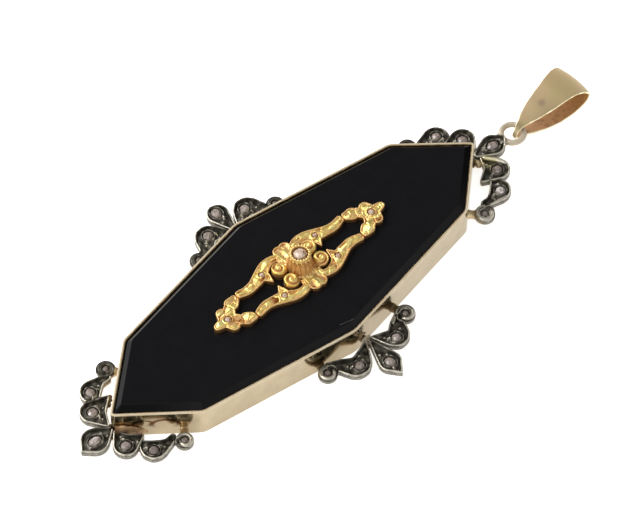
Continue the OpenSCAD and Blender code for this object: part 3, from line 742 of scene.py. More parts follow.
def ornament(name, hub, leaves, low, high, place, mirrored, ring):
    """The silver of one ornament. Each leaf in the list lies under the ones before it."""
    def distance(x, y):
        whole = np.minimum.reduce([disc(x, y, hub)] + [leaf.distance(x, y) for leaf in leaves])
        return np.maximum(whole, SEAT_GAP - case_distance(*place(x, y)))

    def height(x, y, d):
        z = np.full(x.shape, LEAF_FACE - 0.05) + 0.05 * ripple(x, y, 5, LEAF_SEED)
        polish = np.full(x.shape, 0.35)
        for k, leaf in reversed(list(enumerate(leaves))):
            own = leaf.distance(x, y)
            # Painted shade: an edge is shaded as far as it faces the shaded direction
            lean_x, lean_y = (a - b for a, b in zip(place(*np.gradient(own)), place(0, 0)))
            facing = (SHADED_Y * lean_y + SHADED_X * lean_x) / (np.hypot(lean_x, lean_y) + TINY)
            shaded = ease(facing, -0.2, 0.8)
            if leaf.scroll:
                tails = [other.tip for other in leaves if other.curved]
                tail = min(tails, key=lambda tip: math.dist(tip[:2], leaf.scroll[:2]))
                mouth = math.atan2(tail[1] - leaf.scroll[1], tail[0] - leaf.scroll[0])
                seed = LEAF_SEED_STEP * k + SCROLL_SEED
                top, shine = scroll_surface(leaf, mouth, x, y, own, shaded, seed)
            else:
                top, shine = leaf_surface(leaf, x, y, own, shaded, LEAF_SEED_STEP * k + LEAF_SEED)
            beside = (own > 0) & (own < 0.09)
            z = np.where(beside, np.minimum(z, LEAF_FACE - 0.15), z)
            polish = np.where(beside, 0.05, polish)
            z = np.where(own <= 0, top, z)
            polish = np.where(own <= 0, shine, polish)
        if ring:
            px, py = place(x, y)
            outside = RING_RADIUS + WIRE
            over = 1 - ease(np.hypot(px - HANGER_X, py - RING_Y), outside - 0.1, outside + 0.5)
            z = z + over * (RING_Z + WIRE + 0.12 - LEAF_FACE)
        return z, polish

    foot = GOLD_BOTTOM + 0.06
    levels = [
        (0, EDGE_TOP - 0.2, 0.8, 0.1), (0.05, EDGE_TOP - 0.28, 0.08, 0.4), (0.03, EDGE_TOP - 0.38, 0.5, 0.7),
        (0, SILVER_BOTTOM, 0.5, 1), (0.03, foot, 0.4, 1), (0.09, foot, 0.1, 1),
    ]
    piece = relief(name, low, high, distance, height, levels, place, SILVER, "silver", mirrored)
    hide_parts(name)


def to_top(x, y):
    return x + TOP_SHIFT_X, y + TIP_UP + END_SHIFT


def to_bottom(x, y):
    return x, END_SHIFT - TIP_DOWN - y


def to_right(x, y):
    return SIDE_X + y, SIDE_SHIFT - x


def to_left(x, y):
    return -SIDE_X - y, SIDE_SHIFT - x


def with_scrolls(main, inners, outer_rows, outer_size, ends, dull):
    """The leaves of an ornament, the ones on top first, and again in the order of their stones."""
    outers = [Leaf(rows, outer_size, curved=True) for rows in outer_rows]
    scrolls = [Leaf([end, end], SCROLL_STONE, scroll=end) for end in ends]
    for k in dull:
        scrolls[k].dull = True
    return [main, *inners, *scrolls, *outers], [main, *inners, *outers, *scrolls]


def end_leaves(middle, inner_rows, ends):
    inners = [Leaf(rows, INNER_STONE) for rows in inner_rows]
    outer_rows = (END_OUTER, flip(END_OUTER))
    return with_scrolls(Leaf(middle, *MIDDLE_STONE), inners, outer_rows, OUTER_STONE, ends, (1,))


def side_leaves(middle, centre, outer_rows, ends, dull=()):
    main = Leaf(middle, *SIDE_MIDDLE_STONE, centre)
    return with_scrolls(main, [], outer_rows, SIDE_OUTER_STONE, ends, dull)


LEFT_LEAVES = side_leaves(LEFT_MIDDLE, (0, 4.78), (SIDE_OUTER, flip(SIDE_OUTER)), LEFT_SCROLLS, (0, 1))
RIGHT_LEAVES = side_leaves(RIGHT_MIDDLE, None, (RIGHT_LOWER, RIGHT_UPPER), RIGHT_SCROLLS)
BOTTOM_LEAVES = end_leaves(BOTTOM_MIDDLE, (BOTTOM_RIGHT_INNER, BOTTOM_LEFT_INNER), BOTTOM_SCROLLS)
TOP_LEAVES = end_leaves(TOP_MIDDLE, (TOP_RIGHT_INNER, TOP_LEFT_INNER), TOP_SCROLLS)
# Broad worn edges, raised and with a painted highlight, as bars between discs, and the two pale scroll ends
TOP_LEAVES[1][1].bright = [((0.8, 1.1, 0.42), (1.9, 2, 0.46)), ((1.9, 2, 0.46), (3.1, 2.42, 0.3))]
TOP_LEAVES[1][3].bright = [((7.05, -1.1, 0.24), (6.85, -2.6, 0.3)), ((6.85, -2.6, 0.3), (6.65, -3.9, 0.3))]
RIGHT_LEAVES[1][2].bright = [((-4.6, 1.1, 0.2), (-6, 0.2, 0.24))]
TOP_LEAVES[1][5].pale = True
BOTTOM_LEAVES[1][5].pale = True
# Name, leaves, hub, place, whether mirrored, low and high corner, and whether it reaches under the ring
ORNAMENTS = [
    ("bottom", BOTTOM_LEAVES, END_HUB, to_bottom, True, (-8.6, -6.2), (8.6, 5.9), False),
    ("top", TOP_LEAVES, END_HUB, to_top, False, (-8.6, -6.4), (8.6, 5.3), True),
    ("right", RIGHT_LEAVES, RIGHT_HUB, to_right, False, (-8.2, -0.6), (7.8, 7.5), False),
    ("left", LEFT_LEAVES, SIDE_HUB, to_left, True, (-7.8, -0.6), (7.8, 6.2), False),
]
# Ranges of tone of the stones, painted reflections of their facets whose top is a white painted highlight:
# in scroll ends, elsewhere, and of single stones that differ
SCROLL_TONES, LEAF_TONES = (0, 0.55), (0.15, 0.85)
TONES = {
    ("top", 4): (0.85, 1.05), ("top", 6): (0.4, 0.7), ("right", 3): (0.45, 0.95),
    ("bottom", 1): (0.5, 0.95), ("bottom", 4): (0.1, 0.5), ("bottom", 7): (0, 0.2),
    ("left", 1): (0.45, 0.9), ("left", 4): (0, 0.3), ("left", 5): (0, 0.3),
}
for label, (leaves, stones), hub, place, mirrored, low, high, ring in ORNAMENTS:
    ornament(f"{label}_ornament", hub, leaves, low, high, place, mirrored, ring)
    for k, leaf in enumerate(stones):
        sx, sy, half_x, half_y = leaf.stone
        tall = SMALL_STONE_HEIGHT if leaf.scroll else STONE_HEIGHT
        tones = TONES.get((label, k + 1), SCROLL_TONES if leaf.scroll else LEAF_TONES)
        seed = STONE_SEED + STONE_SEED_STEP * k + len(label)
        stone(f"{label}_stone_{k + 1}", place, (sx, sy), STONE_BOTTOM, half_x, half_y, tall, seed, tones)


# Overlay

LEAF_CHAIN = rounded(OVERLAY_LEAF, 4)
BOSS_PLATE = (0, 0, 1.7)
BOSS_FOOT = 1.95
OVERLAY_HALF_X, OVERLAY_HALF_Y = 4.3, 14.2
# Bright-cut facets: size, tilt, how many times longer than wide, seed, and points worked out at once
CUT_SIZE, CUT_TILT, CUT_STRETCH, CUT_SEED, CUT_BATCH = 1.15, 0.26, 1.8, 21, 20000
# Width of one turn of a volute, and the place of the groove between the leaves and the palmettes
VOLUTE_PITCH, JOIN_Y = 0.74, 8.86


def overlay_place(x, y):
    return x + OVERLAY_X, y + OVERLAY_Y


def overlay_parts(x, y):
    """Signed distances of the overlay's parts."""
    ax, ay = np.abs(x), np.abs(y)
    parts = {
        "leaf": chain(ax, ay, LEAF_CHAIN), "barb": chain(ax, ay, OVERLAY_BARB),
        "stem": chain(ax, ay, OVERLAY_STEM), "petal": chain(ax, ay, OVERLAY_PETAL),
        "volute": disc(ax, ay, OVERLAY_VOLUTE), "boss": disc(x, y, BOSS_PLATE),
    }
    for k, lobe in enumerate(OVERLAY_LOBES):
        parts[f"lobe{k}"] = chain(ax, ay, lobe)
    return parts


def overlay_distance(x, y):
    return np.minimum.reduce(list(overlay_parts(x, y).values()))


def facets(x, y):
    """Bright-cut facets: small cells, each with its own slope, stretched along the overlay."""
    rng = np.random.default_rng(CUT_SEED)
    count = int(4 * OVERLAY_HALF_X * OVERLAY_HALF_Y / CUT_SIZE ** 2 * CUT_STRETCH)
    centre_x = rng.uniform(-OVERLAY_HALF_X, OVERLAY_HALF_X, count)
    centre_y = rng.uniform(-OVERLAY_HALF_Y, OVERLAY_HALF_Y, count)
    lean = rng.normal(0, CUT_TILT, (count, 2))
    flat_x, flat_y = x.ravel(), y.ravel()
    result = np.empty_like(flat_x)
    for start in range(0, len(flat_x), CUT_BATCH):
        part = slice(start, start + CUT_BATCH)
        dx = flat_x[part, None] - centre_x
        dy = flat_y[part, None] - centre_y
        near = np.argmin(dx * dx * CUT_STRETCH ** 2 + dy * dy, axis=1)
        row = np.arange(len(near))
        result[part] = dx[row, near] * lean[near, 0] + dy[row, near] * lean[near, 1]
    return result.reshape(x.shape)


def along_chain(x, y, rows):
    """How far along a chain the nearest point of its middle line is, and how far off it to one side."""
    best = np.full(x.shape, np.inf)
    along, off = np.zeros_like(x), np.zeros_like(x)
    run = 0.0
    for a, b in zip(rows, rows[1:]):
        length = math.hypot(b[0] - a[0], b[1] - a[1])
        ux, uy = (b[0] - a[0]) / length, (b[1] - a[1]) / length
        t = np.clip((x - a[0]) * ux + (y - a[1]) * uy, 0, length)
        qx, qy = x - a[0] - ux * t, y - a[1] - uy * t
        gap = np.hypot(qx, qy)
        closer = gap < best
        best = np.where(closer, gap, best)
        along = np.where(closer, run + t, along)
        off = np.where(closer, qy * ux - qx * uy, off)
        run += length
    return along, off


def overlay_height(x, y, d):
    """Height and shine of the engraved overlay, whose shine paints cut facets, ribs and ridges bright as
    painted highlights.
    """
    ax, ay = np.abs(x), np.abs(y)
    parts = overlay_parts(x, y)
    depth = -d
    cuts = facets(x, y)
    field = OVERLAY_TOP - 0.13 + 0.55 * cuts + 0.015 * ripple(x, y, 5, 5)
    border = 1 - ease(depth, 0.15, 0.28)
    furrow = bell(depth, 0.29, 0.06)
    z = field + border * (OVERLAY_TOP - 0.02 - field) - 0.03 * furrow
    # Each cut facet is painted brighter towards its raised side, a painted glint
    polish = 0.7 - 0.25 * border + 1.8 * cuts * (1 - border) + 0.07 * ripple(x, y, 2.5, 9) - 0.2 * furrow

    # Leaves have slanted veins and a raised middle line
    along, off = along_chain(ax, ay, LEAF_CHAIN)
    veins = ease(np.abs(((along / 1.35 - off * 0.5) % 1) - 0.5) * 2, 0, 1)
    on_leaf = ease(-parts["leaf"], 0.26, 0.4)
    z = z + on_leaf * (0.06 * (veins - 0.5) + 0.18 * np.clip(1 - np.abs(off - 0.08) / 0.36, 0, 1))
    polish = polish + on_leaf * 0.2 * (veins - 0.5)

    # Petals open like small fans, their ribs painted light and dark as painted shading
    flutes = np.cos(np.arctan2(ay, ax) * 14)
    on_petal = ease(-parts["petal"], 0.12, 0.3) * (ax > 1.5)
    z = z + on_petal * (0.07 * flutes + 0.05 * (ax - 2.4))
    polish = polish + on_petal * 0.3 * flutes

    # Lobes of the palmettes are parted by grooves
    lobes = np.sort(np.stack([-parts[f"lobe{k}"] for k in range(4)]), axis=0)
    on_lobe = ease(lobes[-1], 0.0, 0.1)
    groove = bell(lobes[-1] - lobes[-2], 0, 0.08) * on_lobe * (lobes[-2] > -0.1) * (lobes[-1] < 0.5)
    z = z + on_lobe * (0.06 * ease(lobes[-1], 0.1, 0.7)) - 0.09 * groove
    middle_groove = bell(ax, 0, 0.08) * (ay > 10.6) * (ay < 13.2)
    join = bell(ay, JOIN_Y, 0.08) * (ax < 3)
    z = z - 0.05 * middle_groove - 0.3 * join
    polish = polish - 0.22 * groove - 0.5 * join

    # Volutes rise into curled balls, their ridges and beads painted bright as painted highlights
    vx, vy, radius = OVERLAY_VOLUTE
    reach = np.hypot(ax - vx, ay - vy)
    angle = (np.arctan2(ay - vy, ax - vx) + 0.6) % math.tau
    winding = (reach + angle * VOLUTE_PITCH / math.tau - 0.1) % VOLUTE_PITCH
    ridge = dome((winding - VOLUTE_PITCH / 2) / 0.29)
    bead = dome(reach / 0.27)
    ball = 0.6 * dome(reach / (radius + 0.15))
    curled = OVERLAY_TOP - 0.16 + ball + 0.36 * np.maximum(ridge, bead)
    on_volute = parts["volute"] < 0
    z = np.where(on_volute, np.maximum(curled, z), z)
    polish = np.where(on_volute, 0.2 + 0.5 * ridge + 0.35 * bead, polish)
    beside = (parts["volute"] > 0) & (parts["volute"] < 0.1) & (parts["leaf"] > -0.35)
    z = np.where(beside, z - 0.2, z)
    polish = np.where(beside, 0.1, polish)

    # Small stones sit in raised square mounts with a grain at each corner
    for sx, sy, radius in OVERLAY_STONES[1:]:
        off = np.hypot(x - sx, y - sy) - radius
        grains = np.cos((np.arctan2(y - sy, x - sx) - 0.8) * 4)
        mount = bell(off, 0.1, 0.1)
        raised = OVERLAY_TOP + 0.04 + 0.12 * np.clip(grains, 0, 1)
        z = np.where(off < 0.35, z * (1 - mount) + raised * mount, z)
        polish = polish + mount * (0.2 * grains)
        z = np.where(off < 0, OVERLAY_TOP - 0.35, z)
        polish = np.where(off < 0.02, 0.3, polish)

    # Foot of the middle setting, with leaf points laid round it
    reach = np.hypot(x, y)
    points = np.cos(np.arctan2(y, x) * 12)
    foot = OVERLAY_TOP - 0.1 + ease(BOSS_FOOT - reach, 0, 0.5) * (0.3 + 0.1 * points)
    z = np.where(parts["boss"] < 0.25, np.maximum(z, foot), z)
    polish = np.where(reach < BOSS_FOOT, 0.2 + 0.35 * points ** 2, polish)
    z = z - 0.12 * (1 - swell(depth, 0.13))
    return z, np.clip(polish, 0, 1)


overlay_levels = [
    (0, OVERLAY_TOP - 0.2, 0.36, 0), (0.04, OVERLAY_TOP - 0.4, 0.22, 0), (0.02, OVERLAY_BOTTOM, 0.14, 0),
]
overlay = relief(
    "overlay.relief", (-OVERLAY_HALF_X, -OVERLAY_HALF_Y), (OVERLAY_HALF_X, OVERLAY_HALF_Y),
    overlay_distance, overlay_height, overlay_levels, overlay_place, OVERLAY_GOLD, "gold_overlay",
)
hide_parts("overlay")

# Half section of the middle setting from its foot over its rim into its cup: radius, height
BOSS_ROWS = [
    (1.72, OVERLAY_TOP + 0.05), (1.66, 5.98), (1.58, 6.28), (1.47, 6.64), (1.38, 7), (1.32, 7.3),
    (1.28, 7.54), (1.32, 7.66), (1.38, 7.78), (1.33, 7.9), (1.31, 8.05), (1.27, 8.17), (1.18, BOSS_TOP),
    (1.08, 8.22), (1.01, 8.12), (0.99, 7.9), (0.97, 7.76), (0.5, 7.76), (0.02, 7.76),
]
# Rows that are fluted, the row where the flutes are deepest, and the first row inside the cup
FLUTED_ROWS, DEEPEST_ROW, FIRST_CUP_ROW, BOSS_STEPS = 7, 3, 14, 192


def make_boss():
    """The raised middle setting, with flutes round its flank whose crests are painted bright as painted
    highlights.
    """
    angles = np.arange(BOSS_STEPS) * math.tau / BOSS_STEPS
    flutes = np.abs(np.cos(angles * 7))
    points, polish = [], []
    for k, (radius, level) in enumerate(BOSS_ROWS):
        reach = radius + 0.1 * max(0.0, 1 - abs(k - DEEPEST_ROW) / 4) * (flutes - 0.5)
        x, y = OVERLAY_X + reach * np.cos(angles), OVERLAY_Y + reach * np.sin(angles)
        points.append(np.stack([x, y, np.full(BOSS_STEPS, level)], 1))
        if k < FLUTED_ROWS:
            polish.append(0.2 + (0.3 - 0.02 * k) * flutes ** 0.6)
        else:
            polish.append(np.full(BOSS_STEPS, 0.5 if k < FIRST_CUP_ROW else 0.35))
    quads = grid(len(BOSS_ROWS), BOSS_STEPS, join_rows=False, flipped=True)
    polish = np.concatenate(polish)
    make_piece("overlay.boss", np.vstack(points), quads, OVERLAY_GOLD, "gold_overlay", polish=polish)


make_boss()


def ball(centre, radius, squash):
    """Corners and faces of a small ball."""
    rows, steps = 6, 10
    cx, cy, cz = centre
    points = [(cx, cy, cz - radius * squash)]
    for k in range(1, rows):
        tilt = math.pi * k / rows
        reach, level = radius * math.sin(tilt), cz - radius * squash * math.cos(tilt)
        for i in range(steps):
            a = math.tau * i / steps
            points.append((cx + reach * math.cos(a), cy + reach * math.sin(a), level))
    points.append((cx, cy, cz + radius * squash))
    last = 1 + (rows - 2) * steps
    faces = [face + 1 for face in grid(rows - 1, steps, join_rows=False, flipped=True)]
    for i in range(steps):
        j = (i + 1) % steps
        faces += [[0, 1 + j, 1 + i], [last + i, last + j, len(points) - 1]]
    return points, faces


def join(shapes):
    """Many shapes as one list of points and one of faces."""
    points, faces = [], []
    for more, shape in shapes:
        faces += [[i + len(points) for i in face] for face in shape]
        points += more
    return points, faces


# Rings of granules on the middle setting: number, turn, ring radius, height, size, its range, squash
GRANULE_RINGS = [(20, 0, 1.17, 8.22, 0.15, (0.85, 1.1), 0.9), (16, 0.5, 1.36, 7.78, 0.12, (0.8, 1.15), 1)]
# The granules are painted bright, a painted highlight
GRANULE_SEED, GRANULE_POLISH_AND_SHADING = 8, 0.9
rng = np.random.default_rng(GRANULE_SEED)
granules = []
for count, turn, reach, level, size, sizes, squash in GRANULE_RINGS:
    for i in range(count):
        a = math.tau * (i + turn) / count
        x, y = overlay_place(reach * math.cos(a), reach * math.sin(a))
        granules.append(ball((x, y, level), size * rng.uniform(*sizes), squash))
points, faces = join(granules)
polish = np.full(len(points), GRANULE_POLISH_AND_SHADING)
make_piece("overlay.granules", points, faces, OVERLAY_GOLD, "gold_overlay", polish=polish)

# Height and seat of the stone in the middle setting and of the other stones
MIDDLE_STONE_FIT = (0.7, BOSS_TOP - 0.45 + 0.03)
SMALL_STONE_FIT = (0.55, OVERLAY_TOP - 0.4 + 0.03)
OVERLAY_STONE_SEED, OVERLAY_TONES = 300, (0.45, 1)
for k, (sx, sy, radius) in enumerate(OVERLAY_STONES):
    tall, seat = SMALL_STONE_FIT if k else MIDDLE_STONE_FIT
    stone(f"overlay_stone_{k + 1}", overlay_place, (sx, sy), seat, radius, radius, tall,
          OVERLAY_STONE_SEED + k, OVERLAY_TONES, WARM_DIAMOND)


# Bail

# Outline of the bail seen from the side: place along and height, from its narrow end over its front leaf
BAIL_SIDE = [
    (36.57, 1.2), (36.8, 1.85), (37.4, 2.15), (38.2, 2.17), (39, 2.36), (40, 2.7), (41, 3.1), (42, 3.44),
    (43, 3.7), (44, 3.88), (45, 3.91), (46, 3.78), (47, 3.4), (47.85, 2.75), (48.3, 2.0), (47.95, 1.2),
    (47.1, 0.62), (46, 0.24), (45, 0.05), (44, 0), (42, 0.03), (40, 0.06), (38.4, 0.12), (37.4, 0.25),
    (36.8, 0.6),
]
# Half the width of the bail: place along it, half width of its front leaf, half width of its back leaf
WIDTHS = [
    (36.6, 0.32, 0.32), (38.3, 0.4, 0.44), (39, 0.64, 0.86), (40, 1.12, 1.48), (42, 1.78, 2.2),
    (44.2, 2.25, 2.5), (46, 2.56, 2.7), (48.3, 2.84, 2.84),
]
# How much farther the front leaf reaches on its left: place along the bail, extra width
LEFT_SPREAD = [(37.2, 0), (38, 0.42), (39, 0.48), (40.2, 0.36), (41.5, 0.2), (43.5, 0)]
# Steps between two places of the side outline, and how many places the width is evened over on each side
SIDE_STEPS, EVENED = 6, 4


def bail_path():
    """Middle line of the band seen from the side: place along, height and outward direction, once round."""
    looped = BAIL_SIDE[-1:] + BAIL_SIDE + BAIL_SIDE[:1]
    outer = np.array(rounded([(y, z, 0) for y, z in looped], SIDE_STEPS))[SIDE_STEPS:-SIDE_STEPS - 1, :2]
    ahead, behind = np.roll(outer, -1, axis=0), np.roll(outer, 1, axis=0)
    run = (ahead - behind) / np.linalg.norm(ahead - behind, axis=1)[:, None]
    outward = np.stack([-run[:, 1], run[:, 0]], 1)
    middle = outer - outward * BAND / 2
    return [(*place, *direction) for place, direction in zip(middle, outward)]


def bail_half_width(y, up):
    """Half the width where the band faces up (1) or down (-1)."""
    places, *leaves = zip(*WIDTHS)
    front, back = (float(np.interp(y, places, leaf)) for leaf in leaves)
    return back + (front - back) * float(ease(up, -0.8, 0.8))


def band_section(width, crown):
    """One section through the band: across, outwards, whether inside, and 1 on its edge, where painted
    highlights go.
    """
    half, corner = BAND / 2, 0.12
    flat, side = width - corner, half - crown - corner
    across = np.linspace(-1, 1, 25)
    edge = []
    for degrees in (60, 30, 0, -30, -60):
        angle, share = math.radians(degrees), (degrees + 90) / 180
        rise = side * share - (half - corner) * (1 - share) + corner * math.sin(angle)
        edge.append((flat + corner * math.cos(angle), rise, 0, 1))
    outside = [(s * flat, half - crown * s * s, 0, 0) for s in across]
    inside = [(s * flat, -half - 0.3 * crown * (s * s - 1), 1, 0) for s in across[::-1]]
    return outside + edge + inside + [(-x, *rest) for x, *rest in reversed(edge)]


def make_bail():
    rows = bail_path()
    turn_x, turn_y = math.cos(BAIL_TURN), math.sin(BAIL_TURN)
    widths = np.array([bail_half_width(row[0], row[3]) for row in rows])
    window = 2 * EVENED + 1
    widths = np.convolve(np.pad(widths, EVENED, mode="wrap"), np.ones(window) / window, "valid")
    points, inside, polish = [], [], []
    for (y, z, ny, nz), width in zip(rows, widths):
        crown = 0.12 * min(1, width / 2.2) * float(ease(y, 38.5, 41))
        bowed = float(ease(y, 45, 48.2))
        skew = 0.06 + 0.12 * (1 - float(ease(y, 36.8, 38))) + 0.18 * float(ease(y, 39, 43))
        spread_left = float(np.interp(y, *zip(*LEFT_SPREAD))) * float(ease(nz, 0, 0.8))
        for across, off, is_inside, bright in band_section(width, crown):
            share = across / width
            side = across + skew - spread_left * max(0, -share)
            along = y + ny * off - (0.18 * share * share + 0.09 * share) * bowed - SWING_Y
            points.append((
                BAIL_X + side * turn_x - along * turn_y, SWING_Y + side * turn_y + along * turn_x,
                z + nz * off - 0.12 * share * bowed,
            ))
            inside.append(is_inside)
            polish.append(bright)
    quads = grid(len(rows), len(points) // len(rows), flipped=True)
    surface_map = {"inside": inside, "polish": polish}
    piece = make_piece("bail.band", points, quads, BAIL_GOLD, "gold_bail", BAIL, **surface_map)
    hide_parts("bail")


make_bail()


# Rim burnished over the edge of the stone, and the dark seam beside it

CORNER_RADII = (0.15, 1.5, 3, 1.5, 0.15, 1.5, 3, 1.5)
RIM_HALF, RIM_TOP, RIM_SOFT, SEAM = RIM_WIDTH / 2 + 0.006, 4.33, 0.05, 0.12


def case_outline(growth, steps=8):
    """Points and outward directions along the case's outline, moved outwards, with soft corners."""
    made = []
    for (x, y, *out), (_, _, *last_out), radius in zip(WALLS, WALLS[-1:] + WALLS, CORNER_RADII):
        out_a, out_b = np.array(last_out), np.array(out)
        along = np.array([-out_a[1], out_a[0]])
        bend = math.acos(out_a @ out_b)
        corner = np.array([x, y]) + growth * (out_a + out_b) / (1 + out_a @ out_b)
        radius = radius + growth
        centre = corner - along * radius * math.tan(bend / 2) - radius * out_a
        start = math.atan2(out_a[1], out_a[0])
        for k in range(steps + 1):
            t = start + bend * k / steps
            out = np.array([math.cos(t), math.sin(t)])
            made.append((centre + radius * out, out))
    return made


def sweep(name, middle, profile, material, closed=False):
    """A profile of (offset outward, height) carried round a line of (place, outward direction)."""
    points = [(*(place + out * off), level) for place, out in middle for off, level in profile]
    make_piece(name, points, grid(len(middle), len(profile), join_columns=closed), material, "gold_case")


rim_line = case_outline(RIM_WIDTH / 2)
turns = np.linspace(0, math.pi / 2, 6)
outer_edge, inner_edge, soft_top = RIM_HALF - RIM_SOFT, SEAM - RIM_HALF + RIM_SOFT, RIM_TOP - RIM_SOFT
sweep("case.rim", rim_line, [
    (RIM_HALF, 4.1),
    *((outer_edge + RIM_SOFT * math.cos(a), soft_top + RIM_SOFT * math.sin(a)) for a in turns),
    *((inner_edge - RIM_SOFT * math.sin(a), soft_top + RIM_SOFT * math.cos(a)) for a in turns),
    (SEAM - RIM_HALF, 4.2),
], RIM_GOLD)
sweep("case.seam", rim_line, [
    (SEAM - RIM_HALF + 0.02, 4.312), (0.02 - RIM_HALF, 4.312), (-RIM_HALF, 4.29), (-RIM_HALF, 4.14),
], DARK_SOLDER_AND_SHADE)


# Jump ring, posts and solder

def circle(steps):
    """Directions all round."""
    angles = [math.tau * k / steps for k in range(steps)]
    return [np.array([math.cos(a), math.sin(a)]) for a in angles]


# Satin skin of the jump ring's wire
SKIN = WIRE + 0.012
ring_line = [(np.array([HANGER_X, RING_Y]) + RING_RADIUS * out, out) for out in circle(72)]
wire = [(SKIN * x, RING_Z + SKIN * y) for x, y in circle(20)]
sweep("case.ring", ring_line, wire, RING_GOLD, closed=True)


def arch(x, y, side_x, side_y, half, rise, steps, square, curve):
    """Points over a low arch, from one side of a place to the other."""
    points = []
    for k in range(steps + 1):
        a = math.pi * k / steps
        off = half * math.copysign(abs(math.cos(a)) ** square, math.cos(a))
        points.append((x + side_x * off, y + side_y * off, GOLD_BOTTOM + rise * math.sin(a) ** curve))
    return points


def make_post(name, start, end, width, top, material):
    """Rounded gold post between two places (x, y), flared where it is soldered on."""
    steps, about = 12, 14
    length = math.dist(start, end)
    ux, uy = (end[0] - start[0]) / length, (end[1] - start[1]) / length
    points = []
    for i in range(steps + 1):
        t = i / steps
        flare = 1 + 0.3 * abs(2 * t - 1) ** 2.5
        x, y = start[0] + ux * length * t, start[1] + uy * length * t
        rise = (top - GOLD_BOTTOM) * (0.82 + 0.18 * flare)
        points += arch(x, y, -uy, ux, width / 2 * flare, rise, about, square=0.6, curve=0.5)
    quads = grid(steps + 1, about + 1, join_rows=False, join_columns=False)
    make_piece(name, points, quads, material, "gold_case")


def scroll_post(name, place, scroll, material):
    """Post from a scroll end square onto the nearest wall of the case."""
    sx, sy = place(*scroll[:2])
    off, nx, ny = max(((sx - ax) * nx + (sy - ay) * ny, nx, ny) for ax, ay, nx, ny in WALLS)
    start, end = ((sx - nx * far, sy - ny * far) for far in (off - RIM_WIDTH + 0.05, scroll[2] - 0.15))
    make_post(name, start, end, 0.95, 1.36, material)


for label, (_, stones), _, place, *_ in ORNAMENTS:
    # The side ornaments' posts are dark as painted shade
    solder = DARK_SOLDER_AND_SHADE if label in ("left", "right") else SOLDER_GOLD
    for k, leaf in enumerate(stones[-2:]):
        scroll_post(f"case.{label}_post_{k + 1}", place, leaf.scroll, solder)
make_post("case.right_root", (SIDE_X + RIM_WIDTH - 0.1, 1.8), (12.1, 1.7), 1.1, 1.32, RING_GOLD)
make_post("case.left_root", (-SIDE_X - RIM_WIDTH + 0.1, 1.2), (-12.2, 1.2), 1.0, 1.32, SOLDER_GOLD)

SOLDER_STEPS, STRIP_SEED, LUMP_SEED = 28, 32, 33


def make_strip():
    """A tapered run of solder along the wall beside the lower tip, with a low arch as its profile."""
    about = 12
    points = []
    for i in range(SOLDER_STEPS + 1):
        share = i / SOLDER_STEPS
        thinned = 0.36 * share ** 2
        x, y = wall_point(0.1 + 4.3 * share, RIM_WIDTH + 0.24 - thinned)
        rise = 0.62 - GOLD_BOTTOM + 1.9 * math.cos(share * math.pi / 2) ** 0.8
        points += arch(x, y, RUN_Y, -RUN_X, 0.4 - thinned, rise, about, square=1, curve=0.7)
    x, y, z = np.array(points).T
    z = z + 0.1 * ripple(x, y, 4, STRIP_SEED) * (z > GOLD_BOTTOM + 0.1)
    quads = grid(SOLDER_STEPS + 1, about + 1, join_rows=False, join_columns=False)
    make_piece("case.solder", np.stack([x, y, z], 1), quads, BROWN_SOLDER, "gold_case")


make_strip()

# Lumps of solder: name, material, and blobs (x, y, z, radius)
LUMPS = [
    ("ring_solder", SOLDER_GOLD, [
        (0.95, 35.3, 1.35, 0.3), (1.35, 35.45, 1.25, 0.27), (0.3, 35.25, 1.35, 0.28),
    ]),
    ("dark_solder", DARK_SOLDER_AND_SHADE, [
        (-3.6, -27.5, 1.0, 0.45), (-3.15, -28.0, 0.95, 0.4), (-3.9, -27.05, 0.95, 0.3),
    ]),
    ("top_solder", SOLDER_GOLD, [
        (0.9, 30.5, 1.1, 0.42), (1.3, 30.25, 1.15, 0.4), (1.5, 30.75, 1.15, 0.36),
    ]),
]
for k, (name, material, blobs) in enumerate(LUMPS):
    rng = np.random.default_rng(LUMP_SEED + k)
    shapes = []
    for *centre, radius in blobs:
        points, faces = ball(centre, radius, rng.uniform(0.6, 0.9))
        shapes.append(([point + rng.normal(0, radius * 0.04, 3) for point in points], faces))
    make_piece(f"case.{name}", *join(shapes), material, "gold_case")


# CAD nodes that stay, with softened edges, and one fine scratch

for node, material, width in (("case", CASE_GOLD, 0.07), ("onyx", ONYX, 0.05)):
    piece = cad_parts[node]
    piece.data.materials.clear()
    piece.data.materials.append(material)
    soft = piece.modifiers.new("soft edges", "BEVEL")
    soft.width = width * MM
    soft.segments = 3
    soft.limit_method = "ANGLE"
    soft.angle_limit = math.radians(35)
    soft.harden_normals = False

SCRATCH_Z = 4.952
scratch = [(x, y, SCRATCH_Z) for x, y in ((9.38, -1.18), (9.4, -1.19), (9.91, 0.69), (9.88, 0.71))]
make_piece("onyx.scratch", scratch, [(0, 1, 2, 3)], SCRATCH, "onyx", smooth=False)


# Floor, camera and light, with lengths in metres apart from the camera's

FLOOR_REACH, FLOOR_DROP = 1.2, 0.00002
corners = [(x * FLOOR_REACH, y * FLOOR_REACH, 0) for x, y in ((-1, -1), (1, -1), (1, 1), (-1, 1))]
floor_mesh = bpy.data.meshes.new("floor")
floor_mesh.from_pydata(corners, [], [(0, 1, 2, 3)])
floor_mesh.materials.append(floor_white())
floor = bpy.data.objects.new("floor", floor_mesh)
floor.location.z = -FLOOR_DROP
bpy.context.scene.collection.objects.link(floor)
floor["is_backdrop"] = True

VIEW_TURN, VIEW_RISE = math.radians(47.1), math.radians(53.9)
VIEW_BACK, VIEW_RIGHT, VIEW_UP, LENS = 677.2, 3.126, 1.632, 309.64
right = Vector((math.cos(VIEW_TURN), math.sin(VIEW_TURN), 0))
back = Vector((right.y * math.cos(VIEW_RISE), -right.x * math.cos(VIEW_RISE), math.sin(VIEW_RISE)))
up = back.cross(right)
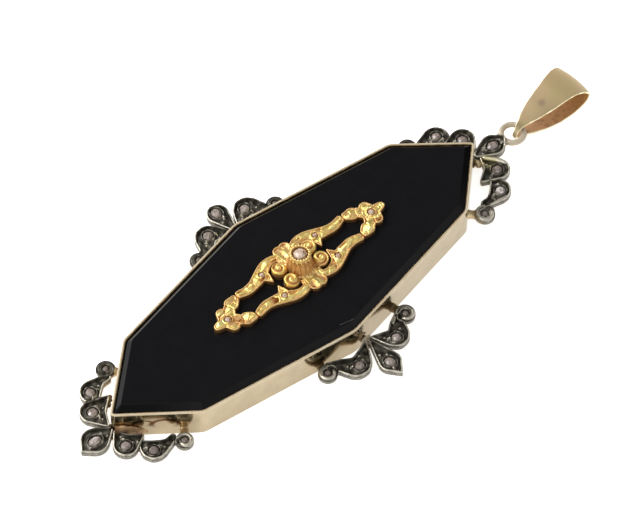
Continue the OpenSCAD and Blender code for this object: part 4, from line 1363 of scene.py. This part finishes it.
camera_data = bpy.data.cameras.new("camera")
camera_data.lens = LENS
camera_data.sensor_width = 36
camera_data.clip_start = 0.01
camera_data.clip_end = 20
camera = bpy.data.objects.new("camera", camera_data)
camera.matrix_world = Matrix((right, up, back)).transposed().to_4x4()
camera.location = (Vector((0, 0, CASE_HEIGHT)) + VIEW_BACK * back + VIEW_RIGHT * right + VIEW_UP * up) * MM
bpy.context.scene.collection.objects.link(camera)
bpy.context.scene.camera = camera


def softbox(name, direction, distance, size, power):
    data = bpy.data.lights.new(name, "AREA")
    data.shape = "RECTANGLE"
    data.size, data.size_y = size
    data.energy = power
    lamp = bpy.data.objects.new(name, data)
    lamp.location = Vector(direction).normalized() * distance
    lamp.rotation_mode = "QUATERNION"
    lamp.rotation_quaternion = (-lamp.location).to_track_quat("-Z", "Y")
    bpy.context.scene.collection.objects.link(lamp)


softbox("key", (-0.75, -0.15, 0.75), distance=0.55, size=(0.34, 0.34), power=2.0)
softbox("fill", (-0.25, -0.75, 0.7), distance=0.6, size=(0.4, 0.3), power=1.6)

# A bright room with three dark cards, one of which the flat face of the onyx mirrors towards the camera
ROOM_LIGHT = 0.85
# Direction of a card, degrees within which it is dark and beyond which it ends, and its brightness
DARK_CARDS = [
    ((-back.x, -back.y, back.z), 14, 30, 0.1), ((0.85, 0.15, 0.5), 12, 28, 0.3),
    ((0.22, 0.97, 0.08), 10, 28, 0.12),
]
room = Nodes(bpy.data.worlds.new("studio"))
bpy.context.scene.world = room.owner
where = room.add("TexCoord", output="Generated")
brightness = ROOM_LIGHT
for direction, inner, outer, least in DARK_CARDS:
    centre = Vector(direction).normalized()
    toward = room.add("VectorMath", where, centre, operation="DOT_PRODUCT", output="Value")
    limits = [math.cos(math.radians(angle)) for angle in (outer, inner)]
    card = room.add("MapRange", toward, *limits, ROOM_LIGHT, least, interpolation_type="SMOOTHSTEP")
    brightness = room.add("Math", brightness, card, operation="MINIMUM")
background = room.tree.nodes["Background"]
room.feed(background.inputs["Strength"], brightness)
room.feed(background.inputs["Color"], (1, 0.99, 0.97))

bpy.context.scene.view_settings.view_transform = "Standard"

low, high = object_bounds()
